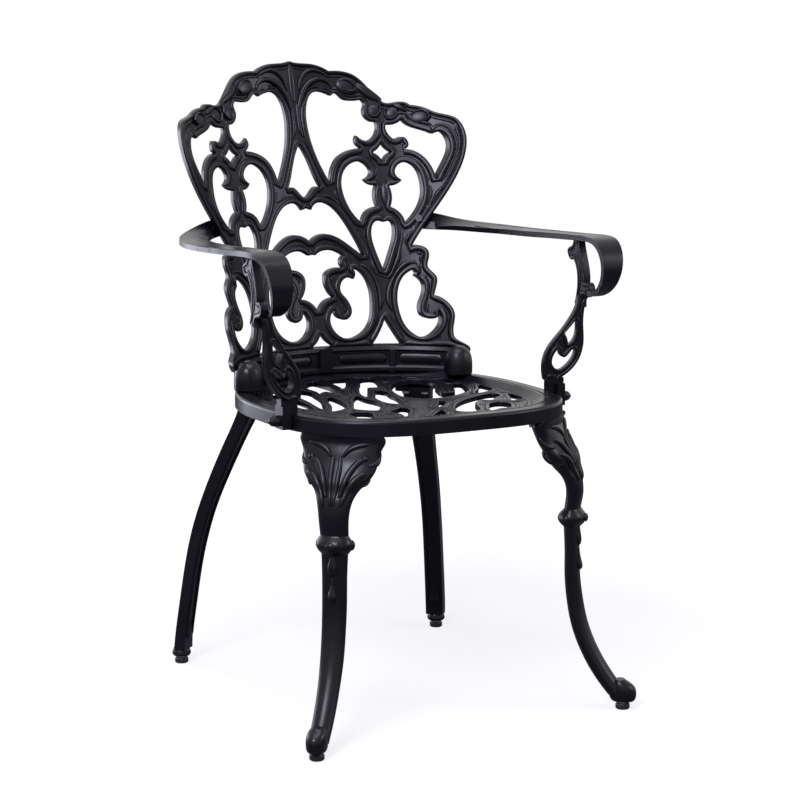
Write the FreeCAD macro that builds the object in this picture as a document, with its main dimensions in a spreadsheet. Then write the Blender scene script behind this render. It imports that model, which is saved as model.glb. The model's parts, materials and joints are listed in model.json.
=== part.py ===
"""Garden armchair in ornate castings, bolted together, on four screw-down levelling glides.

Millimetres. Z is up, the floor is z = 0, the sitter faces -Y and X runs to the viewer's right. The seat is round, and
most of the chair is laid out about one upright axis through its middle: the back is cast to a cone about that axis and
the legs stand on lines that run out from it. That axis is at y = seat_axis_y, which puts the whole chair's box over
the origin, so every sub-part is modelled about its own origin and carries that shift in its Placement.
"""

import FreeCAD, Part

import math
import os

from FreeCAD import Vector

os.makedirs("parts", exist_ok=True)
doc = FreeCAD.newDocument("armchair")

# Every driving size, with the word that the rest of the model calls it by.
SIZES = {
    "seat_axis_y": -45.0,
    # Seat casting.
    "seat_height": 430.0,
    "seat_half_width": 212.0,
    "seat_front_reach": 217.0,
    "seat_rear_reach": 243.0,
    "seat_front_power": 3.1,
    "seat_rear_power": 2.2,
    "rim_land": 24.0,
    "rim_thick": 6.0,
    "rim_width": 38.0,
    "rim_edge_round": 4.0,
    "rim_groove_width": 3.0,
    "rim_groove_depth": 1.5,
    "dish_drop": 8.0,
    "panel_thick": 6.0,
    "skirt_height": 21.0,
    "skirt_wall": 6.0,
    "boss_radius": 9.0,
    # Back casting.
    "back_foot_radius": 217.0,
    "back_lean": 0.256,
    "back_wall": 9.0,
    "back_rise": 460.0,
    "back_half_width": 231.0,
    "rail_height": 37.0,
    "rail_thick": 13.0,
    "rail_swing": 56.0,
    "rail_panel_depth": 2.5,
    "rail_knob_radius": 21.0,
    "rail_knob_height": 42.0,
    # Arms.
    "arm_height": 646.0,
    "arm_thick": 7.0,
    "arm_roll_radius": 38.0,
    "arm_half_span": 256.0,
    "support_thick": 9.0,
    "arm_foot_width": 23.0,
    "arm_foot_thick": 13.0,
    # Legs.
    "front_leg_turn": 45.0,
    "rear_leg_turn": 43.1,
    "rear_leg_centre": 33.9,
    "flange_thick": 7.0,
    "flange_round": 4.0,
    # Fixings, all M6.
    "screw_radius": 3.0,
    "screw_hole_radius": 3.3,
    "tapped_radius": 3.1,
    "hex_flats": 10.0,
    "hex_height": 4.0,
    "washer_radius": 6.0,
    "washer_thick": 1.6,
    "cap_nut_radius": 7.5,
    "cap_nut_length": 15.0,
    # Levelling glides.
    "glide_pad_radius": 10.0,
    "glide_pad_height": 9.0,
    "glide_collar_radius": 7.0,
    "glide_collar_height": 2.4,
    "glide_stud_radius": 4.0,
    "glide_stud_length": 30.0,
    "glide_seat_depth": 6.0,
    "running_gap": 0.05,
    # Small gap left between two castings where they are bolted together.
    "joint_gap": 0.2,
}

sheet = doc.addObject("Spreadsheet::Sheet", "sizes")
for row, (word, value) in enumerate(SIZES.items(), start=1):
    sheet.set(f"A{row}", word)
    sheet.set(f"B{row}", str(value))
    sheet.setAlias(f"B{row}", word)
doc.recompute()


def size(word):
    """Return one driving size from the sheet, in millimetres or plain number."""
    return float(getattr(sheet, word))


NODES = []


def keep(obj, name):
    """Name a finished sub-part, place it over the seat's axis and list it for export."""
    obj.Label = name
    obj.Placement = FreeCAD.Placement(Vector(0, size("seat_axis_y"), 0), FreeCAD.Rotation())
    NODES.append(obj)
    return obj


def feature(name, shape):
    """Hold a shape that Part functions made as one sub-part."""
    obj = doc.addObject("Part::Feature", name)
    obj.Shape = shape
    return keep(obj, name)


# Outlines.


def spline(points):
    """Return one smooth edge through the points, or a straight one through two."""
    if len(points) == 2:
        return Part.LineSegment(points[0], points[1]).toShape()
    curve = Part.BSplineCurve()
    curve.interpolate(Points=points)
    return curve.toShape()


def ring(points):
    """Return one smooth closed wire through the points."""
    curve = Part.BSplineCurve()
    curve.interpolate(Points=points, PeriodicFlag=True)
    return Part.Wire([curve.toShape()])


def joined(runs):
    """Return a closed wire of smooth runs that meet at corners."""
    return Part.Wire([spline(run) for run in runs])


def mirrored_runs(runs):
    """Return the runs seen in a mirror at x = 0, in the order that carries on from them."""
    return [[Vector(-p.x, p.y, p.z) for p in reversed(run)] for run in reversed(runs)]


def faces(outer, holes):
    """Return the flat face inside one wire and outside the others."""
    return Part.makeFace([outer] + holes, "Part::FaceMakerBullseye")


def mirror_x(shape):
    """Return the shape seen in a mirror at x = 0."""
    return shape.mirror(Vector(0, 0, 0), Vector(1, 0, 0))


def about_axis(shape, degrees):
    """Return the shape turned about the seat's upright axis."""
    turned = shape.copy()
    turned.rotate(Vector(0, 0, 0), Vector(0, 0, 1), degrees)
    return turned


def upright(radius, bottom, top, x, y):
    """Return an upright cylinder."""
    return Part.makeCylinder(radius, top - bottom, Vector(x, y, bottom))


# Places that more than one piece uses.

SEAT_TOP = size("seat_height")
SKIRT_FOOT = SEAT_TOP - size("skirt_height")
PANEL_TOP = SEAT_TOP - size("dish_drop")
PANEL_FOOT = PANEL_TOP - size("panel_thick")
FLANGE_TOP = SKIRT_FOOT - size("joint_gap")
FLANGE_FOOT = FLANGE_TOP - size("flange_thick")


def rim_shape(rear, inset):
    """Return reach and corner power of the front or rear half of the seat's outline, drawn in by inset."""
    if not rear:
        return size("seat_front_reach") - inset, size("seat_front_power")
    # The rear is rounder outside than along the dish, so the rim grows narrower round the rear corners.
    share = max(0.0, inset - size("skirt_wall")) / (size("rim_width") - size("skirt_wall"))
    return size("seat_rear_reach") - inset, size("seat_rear_power") + 0.5 * share


def rim_half_width(y, inset=0.0):
    """Return the half width of the seat's outline at y, drawn in by inset."""
    reach, power = rim_shape(y > 0, inset)
    wide = size("seat_half_width") - inset
    return wide * max(0.0, 1.0 - (abs(y) / reach) ** power) ** (1.0 / power)


def rim_wire(inset, z):
    """Return the seat's outline, drawn in by inset, at height z."""
    wide = size("seat_half_width") - inset
    points = []
    for i in range(40):
        a = 2.0 * math.pi * i / 40
        reach, power = rim_shape(math.sin(a) > 0, inset)
        x = math.copysign(wide * abs(math.cos(a)) ** (2.0 / power), math.cos(a))
        y = math.copysign(reach * abs(math.sin(a)) ** (2.0 / power), math.sin(a))
        points.append(Vector(x, y, z))
    return ring(points)


def rim_block(inset, bottom, top):
    """Return a straight block with the seat's outline, drawn in by inset."""
    return Part.Face(rim_wire(inset, bottom)).extrude(Vector(0, 0, top - bottom))


def back_radius(z):
    """Return the radius of the back's front face at height z."""
    return size("back_foot_radius") + size("back_lean") * (z - SEAT_TOP)


def leg_bolt_places():
    """Return the plan places of the eight leg bolts."""
    places = []
    rear_middle = size("rear_leg_centre")
    for turn, front, apart, reach in (
        (size("front_leg_turn"), True, 24.0, size("seat_half_width") - 4.0),
        (size("rear_leg_turn"), False, 15.0, size("seat_half_width") - 26.0),
    ):
        a = math.radians(turn)
        out = Vector(math.sin(a), -math.cos(a) if front else math.cos(a), 0)
        across = Vector(out.y, -out.x, 0)
        middle = Vector(0, 0 if front else rear_middle, 0)
        for side in (-1, 1):
            p = middle + out * reach + across * (side * apart)
            places.append((p.x, p.y))
            places.append((-p.x, p.y))
    return places


def back_bolt_places():
    """Return the plan places of the four bolts that hold the back's rail on the seat."""
    r = back_radius(SEAT_TOP)
    places = []
    # One pair stands between the rail's two panels, the other inside the end knobs.
    for turn, reach in ((27.75, r + size("rail_thick") / 2.0 - 4.0), (54.0, r - 9.0)):
        a = math.radians(turn)
        places.append((reach * math.sin(a), reach * math.cos(a)))
        places.append((-reach * math.sin(a), reach * math.cos(a)))
    return places


ARM_BOLT_Y = -93.0
ARM_BOLT_Z = SKIRT_FOOT + 13.0

# Seat casting: a flat rim with a turned-down skirt, dished to a panel of scrolls.

# The openings of the seat's panel, in plan: x to the viewer's right, y to the rear of the seat's axis.
SEAT_OPENINGS = {
    "rear, left of the loop": [
        (-25, 110), (-19, 140), (-17, 172), (-14, 197), (10, 200), (35, 199), (30, 190), (14, 173), (-2, 145), (-14, 123),
    ],
    "inside the rear loop": [
        (-29, 28), (-20, 63), (-5, 95), (11, 128), (28, 157), (44, 181), (56, 181), (56, 163), (46, 137), (36, 113),
        (24, 97), (12, 99), (4, 85), (-6, 67), (-19, 43),
    ],
    "left leaf": [
        (-75, 84), (-70, 108), (-69, 135), (-61, 157), (-48, 177), (-38, 185), (-34, 165), (-34, 135), (-38, 107),
        (-45, 72), (-53, 48), (-56, 60), (-54, 78), (-63, 95),
    ],
    "left, third": [
        (-130, -38), (-128, -23), (-122, 8), (-117, 42), (-113, 72), (-102, 101), (-88, 123), (-82, 115), (-83, 87),
        (-89, 58), (-99, 27), (-113, -8), (-123, -32),
    ],
    "left, outer": [
        (-152, -22), (-151, -3), (-142, 18), (-134, 37), (-129, 47), (-129, 27), (-131, 3), (-137, -21), (-144, -38),
    ],
    "left, rear outer": [
        (-152, 62), (-146, 88), (-132, 118), (-112, 150), (-102, 146), (-108, 124), (-121, 98), (-130, 74), (-141, 56),
    ],
    "left, rear corner": [(-98, 156), (-86, 160), (-70, 178), (-62, 192), (-78, 194), (-92, 178)],
    "left, second": [
        (-124, -62), (-109, -55), (-96, -43), (-84, -18), (-77, 10), (-74, 36), (-75, 50), (-81, 44), (-90, 26),
        (-102, -8), (-115, -38),
    ],
    "left, first": [
        (-89, -62), (-80, -76), (-69, -83), (-59, -72), (-47, -55), (-36, -31), (-35, -5), (-37, 23), (-36, 41),
        (-46, 29), (-60, 5), (-73, -22), (-85, -45),
    ],
    "beside the great scroll": [
        (-27, -25), (-24, 0), (-14, 30), (2, 59), (10, 73), (16, 65), (12, 35), (8, 7), (0, -21), (-14, -51), (-23, -43),
    ],
    "great scroll": [
        (23, 33), (30, 57), (44, 88), (69, 123), (94, 139), (114, 133), (122, 113), (116, 87), (102, 63), (90, 33),
        (88, 7), (100, 7), (114, 25), (126, 51), (138, 73), (147, 75), (143, 51), (132, 21), (108, -7), (78, -24),
        (52, -29), (30, -21), (19, 5),
    ],
    "rear, right of the loop": [(62, 144), (68, 164), (76, 186), (84, 196), (100, 194), (104, 186), (90, 174), (74, 156)],
    "right, rear": [(138, 86), (141, 102), (148, 118), (156, 124), (160, 116), (156, 100), (147, 88)],
    "right": [(125, -15), (133, -2), (152, 22), (164, 44), (170, 50), (171, 20), (164, 2), (148, -8)],
    "front scroll": [
        (28, -132), (38, -110), (54, -86), (76, -64), (102, -46), (126, -34), (145, -31), (148, -44), (134, -60),
        (122, -72), (112, -80), (104, -73), (88, -82), (74, -104), (62, -136), (48, -150), (32, -148),
    ],
    "right, front": [(138, -93), (147, -78), (156, -58), (165, -42), (168, -60), (165, -78), (156, -92)],
    "front, right": [
        (70, -155), (77, -136), (88, -118), (100, -102), (116, -100), (122, -112), (116, -130), (102, -147), (84, -148),
    ],
    "sliver": [(16, -98), (24, -84), (36, -68), (48, -52), (50, -58), (42, -74), (30, -88)],
    "front, middle": [(-34, -176), (-28, -164), (-14, -146), (2, -128), (10, -120), (6, -140), (-6, -160), (-22, -176)],
    "front, small": [(0, -174), (8, -160), (16, -150), (20, -156), (16, -168), (9, -176)],
    "front, left leaf": [
        (-53, -94), (-38, -84), (-26, -78), (-24, -88), (-32, -108), (-44, -128), (-58, -146), (-53, -124), (-57, -106),
    ],
    "front, left": [
        (-116, -93), (-100, -85), (-90, -90), (-86, -100), (-94, -120), (-108, -145), (-116, -144), (-121, -133),
        (-118, -113),
    ],
}
SEAT_DRAWN_HALF_WIDTH = 212.0
SEAT_DRAWN_FRONT = 217.0
SEAT_DRAWN_REAR = 243.0


def seat_point(p, z):
    """Return a point of the seat's drawing at height z, stretched to the real seat."""
    x = p[0] * size("seat_half_width") / SEAT_DRAWN_HALF_WIDTH
    if p[1] < 0:
        return Vector(x, p[1] * size("seat_front_reach") / SEAT_DRAWN_FRONT, z)
    return Vector(x, p[1] * size("seat_rear_reach") / SEAT_DRAWN_REAR, z)


def seat_casting():
    ring_block = rim_block(0, SKIRT_FOOT, SEAT_TOP)
    top_edges = [
        e for e in ring_block.Edges if e.BoundBox.ZMin > SEAT_TOP - 0.01
    ]
    ring_block = ring_block.makeFillet(size("rim_edge_round"), top_edges)
    dish = Part.makeLoft(
        [rim_wire(size("rim_land"), SEAT_TOP), rim_wire(size("rim_width"), PANEL_TOP)], True, True
    )
    body = ring_block.cut(dish)
    body = body.cut(rim_block(size("skirt_wall"), SKIRT_FOOT, PANEL_FOOT))
    body = body.cut(rim_block(size("rim_width"), PANEL_FOOT, PANEL_TOP))
    channel_top = SEAT_TOP - size("rim_thick")
    body = body.cut(
        rim_block(size("skirt_wall"), PANEL_FOOT, channel_top).cut(rim_block(size("rim_land"), PANEL_FOOT, channel_top))
    )
    groove_at = size("rim_land") - 6.0
    groove = rim_block(groove_at, SEAT_TOP - size("rim_groove_depth"), SEAT_TOP).cut(
        rim_block(groove_at + size("rim_groove_width"), SEAT_TOP - size("rim_groove_depth"), SEAT_TOP)
    )
    body = body.cut(groove)

    panel = rim_block(size("rim_width") - 1.0, PANEL_FOOT, PANEL_TOP)
    rise = Vector(0, 0, size("panel_thick") + 2.0)
    inside_rim = rim_block(size("rim_width") + 0.5, PANEL_FOOT - 1.0, PANEL_TOP + 1.0)
    openings = [
        Part.Face(ring([seat_point(p, PANEL_FOOT - 1.0) for p in points])).extrude(rise)
        for points in SEAT_OPENINGS.values()
    ]
    panel = panel.cut(Part.makeCompound(openings).common(inside_rim))
    body = body.fuse(panel)

    bosses = []
    for x, y in leg_bolt_places():
        bosses.append(upright(size("boss_radius"), SKIRT_FOOT, channel_top + 2.0, x, y))
    for x, y in back_bolt_places():
        bosses.append(upright(size("boss_radius"), PANEL_FOOT, SEAT_TOP - 2.0, x, y))
    inside = rim_block(1.0, SKIRT_FOOT, SEAT_TOP)
    body = body.multiFuse([b.common(inside).cut(dish) for b in bosses])
    for x, y in leg_bolt_places():
        body = body.cut(upright(size("tapped_radius"), SKIRT_FOOT - 1, PANEL_FOOT + 3.0, x, y))
    for x, y in back_bolt_places():
        body = body.cut(upright(size("screw_hole_radius"), SKIRT_FOOT - 1, SEAT_TOP + 1, x, y))
    for side in (-1, 1):
        hole = Part.makeCylinder(
            size("screw_hole_radius"), 30, Vector(side * 185, ARM_BOLT_Y, ARM_BOLT_Z), Vector(side, 0, 0)
        )
        body = body.cut(hole)
        inner = rim_half_width(ARM_BOLT_Y) - size("skirt_wall")
        pocket = Part.makeCylinder(
            size("hex_flats") / 2.0 + 1.6, 9.0, Vector(side * (inner + 0.5), ARM_BOLT_Y, ARM_BOLT_Z), Vector(-side, 0, 0)
        )
        body = body.cut(pocket)
    return body.removeSplitter()


# Back casting: scrolled openwork cast to a cone, on a panelled rail with a knob at each end.
# The drawing gives x to the viewer's right and the height above the seat, for the half right of the middle.

BACK_DRAWN_RISE = 460.0
BACK_DRAWN_HALF_WIDTH = 231.0

BACK_OUTLINE = [
    [(0, 460), (14, 457), (32, 456), (48, 452), (61, 445)],
    [(61, 445), (79, 445), (98, 439), (118, 418), (134, 399)],
    [(134, 399), (148, 397), (160, 399), (171, 394)],
    [(171, 394), (184, 392), (198, 385)],
    [(198, 385), (210, 381), (223, 376), (231, 358), (230, 335), (222, 308), (205, 273), (181, 235), (147, 182)],
    [(147, 182), (157, 185), (166, 180), (167, 168), (164, 153), (172, 140), (171, 128), (166, 112)],
    [(166, 112), (177, 106), (185, 88), (181, 66), (180, 56)],
    [(180, 56), (182, 49), (188, 44), (187, 25)],
]

BACK_OPENINGS = {
    "tall loop": [
        [(43, 278), (32, 302), (22, 332), (17, 365), (19, 392), (32, 413), (48, 413), (60, 408)],
        [(60, 408), (70, 411), (78, 403), (90, 400), (104, 402)],
        [(104, 402), (109, 394), (106, 384), (109, 374), (122, 368)],
        [(122, 368), (121, 353), (112, 342), (92, 348)],
        [(92, 348), (89, 338), (96, 329)],
        [(96, 329), (76, 325), (58, 314), (48, 298), (43, 278)],
    ],
    "outer loop": [
        [(190, 283), (186, 304), (177, 319), (156, 328)],
        [(156, 328), (162, 338), (157, 346), (145, 343), (137, 350), (135, 364)],
        [(135, 364), (146, 365), (158, 373)],
        [(158, 373), (166, 363), (180, 357), (194, 351)],
        [(194, 351), (206, 353), (211, 342), (207, 318), (190, 283)],
    ],
    "heart, outer lobe": [
        [(144, 216), (158, 232), (170, 256), (172, 284), (165, 303), (151, 308), (140, 298), (147, 282)],
        [(147, 282), (138, 275), (129, 273)],
        [(129, 273), (131, 260), (127, 242)],
        [(127, 242), (138, 234), (144, 216)],
    ],
    "heart, inner lobe": [
        [(84, 218), (72, 233), (62, 258), (62, 286), (74, 304), (92, 309), (105, 297), (95, 282)],
        [(95, 282), (102, 275), (111, 273)],
        [(111, 273), (107, 260), (109, 242)],
        [(109, 242), (92, 234), (84, 218)],
    ],
    "diamond": [
        [(126, 338), (131, 329), (138, 323)],
        [(138, 323), (130, 317), (125, 308)],
        [(125, 308), (120, 317), (112, 323)],
        [(112, 323), (120, 329), (126, 338)],
    ],
    "keyhole": [
        [(107, 146), (113, 160), (121, 180), (128, 204), (126, 219), (115, 219)],
        [(115, 219), (102, 219), (96, 205), (98, 180), (103, 160), (107, 146)],
    ],
    "inner scroll": [
        [(63, 151), (76, 142), (84, 122), (84, 95), (76, 67), (60, 52), (40, 48), (25, 57), (18, 74), (27, 91)],
        [(27, 91), (32, 78), (44, 76), (53, 86), (51, 100), (42, 113)],
        [(42, 113), (41, 128), (50, 137), (61, 135)],
        [(61, 135), (65, 142), (63, 151)],
    ],
    "outer scroll": [
        [(146, 149), (132, 139), (122, 118), (121, 82), (130, 59), (147, 49), (161, 58), (170, 75), (168, 90)],
        [(168, 90), (161, 77), (150, 79), (147, 94), (153, 110), (156, 126), (147, 139)],
        [(147, 139), (149, 144), (146, 149)],
    ],
    "foot triangle": [
        [(100, 78), (107, 62), (118, 39)],
        [(118, 39), (78, 39)],
        [(78, 39), (92, 60), (100, 78)],
    ],
}

# Openings on the middle line, as their right halves from top to bottom.
BACK_MIDDLE_OPENINGS = {
    "spear": [
        [(0, 336), (9, 320), (18, 294), (27, 272)],
        [(27, 272), (15, 271), (7, 262), (0, 257)],
    ],
    "between the arches": [
        [(0, 242), (8, 239)],
        [(8, 239), (18, 249), (32, 248), (50, 234), (66, 207), (76, 184), (81, 169)],
        [(81, 169), (66, 181), (45, 197), (25, 203), (11, 200), (0, 192)],
    ],
    "under the arches": [
        [(0, 173), (6, 172)],
        [(6, 172), (14, 177), (28, 179), (42, 175), (50, 170)],
        [(50, 170), (44, 161), (47, 152)],
        [(47, 152), (33, 152), (18, 143), (17, 126), (27, 109)],
        [(27, 109), (12, 104), (0, 89)],
    ],
    "foot": [
        [(0, 57), (7, 46), (17, 38)],
        [(17, 38), (0, 38)],
    ],
}


def back_point(p):
    """Return a point of the back's drawing on the plane y = 0."""
    across = size("back_half_width") / BACK_DRAWN_HALF_WIDTH
    rise = size("back_rise") / BACK_DRAWN_RISE
    return Vector(p[0] * across, 0, SEAT_TOP + p[1] * rise)


def back_runs(runs):
    """Return the drawing's runs as points in space."""
    return [[back_point(p) for p in run] for run in runs]


def cone_wall(front, wall, bottom, top):
    """Return the rear half of a wall on the back's cone, from front behind its front face and wall thick."""
    inner = back_radius(bottom) + front
    inner_top = back_radius(top) + front
    height = top - bottom
    outer = Part.makeCone(inner + wall, inner_top + wall, height, Vector(0, 0, bottom))
    core = Part.makeCone(inner, inner_top, height, Vector(0, 0, bottom))
    return outer.cut(core)


def rail():
    """Return the panelled rail at the back's foot, with its two end knobs."""
    r = back_radius(SEAT_TOP)
    z = SEAT_TOP + size("joint_gap")
    high = size("rail_height")
    thick = size("rail_thick")
    lip = 2.5
    profile = [
        (r - 3, z), (r - 3, z + 5), (r, z + 8), (r, z + high - 8), (r - 3, z + high - 5),
        (r - 3 + lip, z + high), (r - 3 + thick, z + high), (r - 3 + thick, z),
    ]
    points = [Vector(a, 0, b) for a, b in profile]
    face = Part.Face(Part.makePolygon(points + points[:1]))
    swing = size("rail_swing")
    face.rotate(Vector(0, 0, 0), Vector(0, 0, 1), 90.0 - swing)
    body = face.revolve(Vector(0, 0, 0), Vector(0, 0, 1), 2.0 * swing)
    k = size("rail_knob_radius")
    tall = size("rail_knob_height")
    knob_reach = r - 3.0 + thick - k
    for side in (-1, 1):
        a = math.radians(swing)
        x = side * knob_reach * math.sin(a)
        y = knob_reach * math.cos(a)
        dome = [
            Vector(k - 1.5, 0, z), Vector(k, 0, z + 2.0), Vector(k, 0, z + 0.36 * tall), Vector(k * 0.95, 0, z + 0.6 * tall),
            Vector(k * 0.78, 0, z + 0.82 * tall), Vector(k * 0.45, 0, z + 0.96 * tall), Vector(0, 0, z + tall),
        ]
        edges = [
            Part.LineSegment(Vector(0, 0, z), dome[0]).toShape(),
            Part.LineSegment(dome[0], dome[1]).toShape(),
            spline(dome[1:]),
            Part.LineSegment(dome[6], Vector(0, 0, z)).toShape(),
        ]
        knob = Part.Face(Part.Wire(edges)).revolve(Vector(0, 0, 0), Vector(0, 0, 1), 360)
        knob.translate(Vector(x, y, 0))
        body = body.fuse(knob)
    for first, last in ((6.0, 25.5), (30.0, 48.0)):
        for side in (-1, 1):
            body = body.cut(rail_panel(side, first, last))
    block = Part.makeBox(20, thick + 2, high - 2, Vector(-10, r - 5, z + 1))
    return body.fuse(block)


def rail_panel(side, first, last):
    """Return the recess of one rail panel, between two angles from the middle, with round ends."""
    r = back_radius(SEAT_TOP)
    z = SEAT_TOP + size("joint_gap") + size("rail_height") / 2.0
    half = 8.5
    deep = size("rail_panel_depth")
    shell = Part.makeCylinder(r + deep, 2 * half, Vector(0, 0, z - half)).cut(
        Part.makeCylinder(r - 10, 2 * half, Vector(0, 0, z - half))
    )
    x1 = r * math.sin(math.radians(first))
    x2 = r * math.sin(math.radians(last))
    box = Part.makeBox(x2 - x1 - 2 * half, 400, 2 * half, Vector(x1 + half, 0, z - half))
    ends = [Part.makeCylinder(half, 400, Vector(x, 0, z), Vector(0, 1, 0)) for x in (x1 + half, x2 - half)]
    window = box.multiFuse(ends)
    cut = shell.common(window)
    return cut if side > 0 else mirror_x(cut)


def back_casting():
    right = back_runs(BACK_OUTLINE)
    foot = [right[-1][-1], Vector(-right[-1][-1].x, 0, right[-1][-1].z)]
    outer = joined(right + [foot] + mirrored_runs(right))
    holes = []
    for runs in BACK_OPENINGS.values():
        placed = back_runs(runs)
        holes.append(joined(placed))
        holes.append(joined(mirrored_runs(placed)))
    for runs in BACK_MIDDLE_OPENINGS.values():
        placed = back_runs(runs)
        holes.append(joined(placed + mirrored_runs(placed)))
    sheet_face = faces(outer, holes)
    prism = sheet_face.extrude(Vector(0, 420, 0))
    top = SEAT_TOP + size("back_rise") + 10.0
    fret = prism.common(cone_wall(0.0, size("back_wall"), SEAT_TOP + 20.0, top))
    body = fret.fuse(rail())
    for x, y in back_bolt_places():
        body = body.cut(upright(size("tapped_radius"), SEAT_TOP - 1.0, SEAT_TOP + 18.0, x, y))
    for side in (-1, 1):
        body = body.cut(arm_root_hole(side, size("screw_hole_radius")))
    return body.removeSplitter()


# Arms: a flat strip that leaves the back's outer bar, runs forward and rolls down at the front, on a scrolled support.

ARM_ROOT = (167.0, 652.0)


def arm_root_frame(side):
    """Return the place on the back's rear face where one arm is bolted, and the way out of that face."""
    x, z = ARM_ROOT
    r = back_radius(z) + size("back_wall")
    y = math.sqrt(r * r - x * x)
    out = Vector(side * x / r, y / r, -size("back_lean"))
    out.normalize()
    return Vector(side * x, y, z), out


def arm_root_hole(side, radius):
    """Return the cutter for the bolt through the back's outer bar and the arm's lug."""
    at, out = arm_root_frame(side)
    return Part.makeCylinder(radius, 60.0, at - out * 30.0, out)


def lug_disc(side, radius, start, stop):
    """Return a disc on one arm's bolt line, between two distances behind the back's rear face."""
    at, out = arm_root_frame(side)
    return Part.makeCylinder(radius, stop - start, at + out * start, out)


def arm_stations():
    """Return the arm strip's stations: middle point, way across it and width."""
    h = size("arm_height")
    half = size("arm_half_span")
    at, out = arm_root_frame(1)
    lug = at + out * (size("arm_thick") / 2.0 + size("joint_gap"))
    plan = [
        (lug.x - 9.0, lug.y + 7.0, lug.z + 1.0, 72.0, 24.0),
        (lug.x + 6.0, lug.y - 4.0, lug.z, 68.0, 26.0),
        (208.0, 196.0, h, 16.0, 33.0),
        (236.0, 152.0, h - 3.0, 6.0, 40.0),
        (half - 3.0, 95.0, h - 4.0, 2.0, 44.0),
        (half + 2.0, 30.0, h - 3.5, 1.0, 44.0),
        (half + 2.0, -35.0, h - 1.5, 0.0, 42.0),
        (half, -93.0, h + 0.5, 0.0, 40.0),
    ]
    r = size("arm_roll_radius")
    roll_y, roll_z = -133.0, h + 0.5 - r
    for i, width in enumerate((40.0, 38.0, 35.0, 31.0, 26.0, 19.0, 11.0)):
        a = math.radians(30.0 * i)
        plan.append((half - 1.6 * i, roll_y - r * math.sin(a), roll_z + r * math.cos(a), 0.0, width))
    plan.append((half - 12.0, roll_y + 13.0, roll_z - r + 1.5, 0.0, 7.0))
    return plan


def arm_strip():
    """Return the right arm's strip as a loft of oblongs along its stations."""
    plan = arm_stations()
    middle = Part.BSplineCurve()
    middle.interpolate(Points=[Vector(x, y, z) for x, y, z, tilt, width in plan])
    wires = []
    for x, y, z, tilt, width in plan:
        p = Vector(x, y, z)
        along = middle.tangent(middle.parameter(p))[0]
        if abs(along.z) > 0.25 or y < -120.0:
            flat = Vector(1, 0, 0)
        else:
            flat = along.cross(Vector(0, 0, 1))
            flat.normalize()
        if flat.x < 0:
            flat = flat * -1.0
        up = flat.cross(along)
        if up.z < 0 and y > -120.0:
            up = up * -1.0
        t = math.radians(tilt)
        across = flat * math.cos(t) + up * math.sin(t)
        normal = across.cross(along)
        normal.normalize()
        if y > -120.0 and normal.z < 0:
            normal = normal * -1.0
        if y <= -120.0:
            normal = Vector(0, (y + 133.0), z - (size("arm_height") + 0.5 - size("arm_roll_radius")))
            normal.normalize()
        half = across * (width / 2.0)
        thick = normal * (size("arm_thick") / 2.0)
        corners = [p + half + thick, p + half - thick, p - half - thick, p - half + thick]
        wires.append(Part.makePolygon(corners + corners[:1]))
    return Part.makeLoft(wires, True, False)


SUPPORT_TURN = 15.4
SUPPORT_AT = (219.0, -99.0)
SUPPORT_OUTLINE = [
    [(-29, 448), (-31, 466), (-29, 480), (-20, 498), (-4, 517), (9, 535), (17, 550), (20, 566)],
    [(20, 566), (34, 566)],
    [(34, 566), (29, 545), (28, 525), (29, 504), (26, 485), (18, 469), (2, 454), (-8, 448)],
    [(-8, 448), (-29, 448)],
]
SUPPORT_OPENINGS = [
    [
        [(16, 492), (14, 481), (4, 468), (-8, 462), (-16, 468), (-16, 480), (-6, 492)],
        [(-6, 492), (-5, 482), (0, 479), (8, 485), (16, 492)],
    ],
    [
        [(18, 533), (9, 522), (1, 513)],
        [(1, 513), (5, 505), (6, 497)],
        [(6, 497), (15, 506), (18, 520), (18, 533)],
    ],
]
# The upper bar, as distance forward of y = -95 and height.
UPPER_BAR = [
    [(-17, 642), (-20, 634), (-31, 628), (-27, 616), (-16, 615)],
    [(-16, 615), (-8, 603), (-5, 588), (-6, 572), (-12, 552)],
    [(-12, 552), (6, 548)],
    [(6, 548), (10, 562), (20, 564), (27, 571), (24, 582), (14, 583)],
    [(14, 583), (12, 602), (5, 622), (-1, 642)],
    [(-1, 642), (-17, 642)],
]


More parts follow.
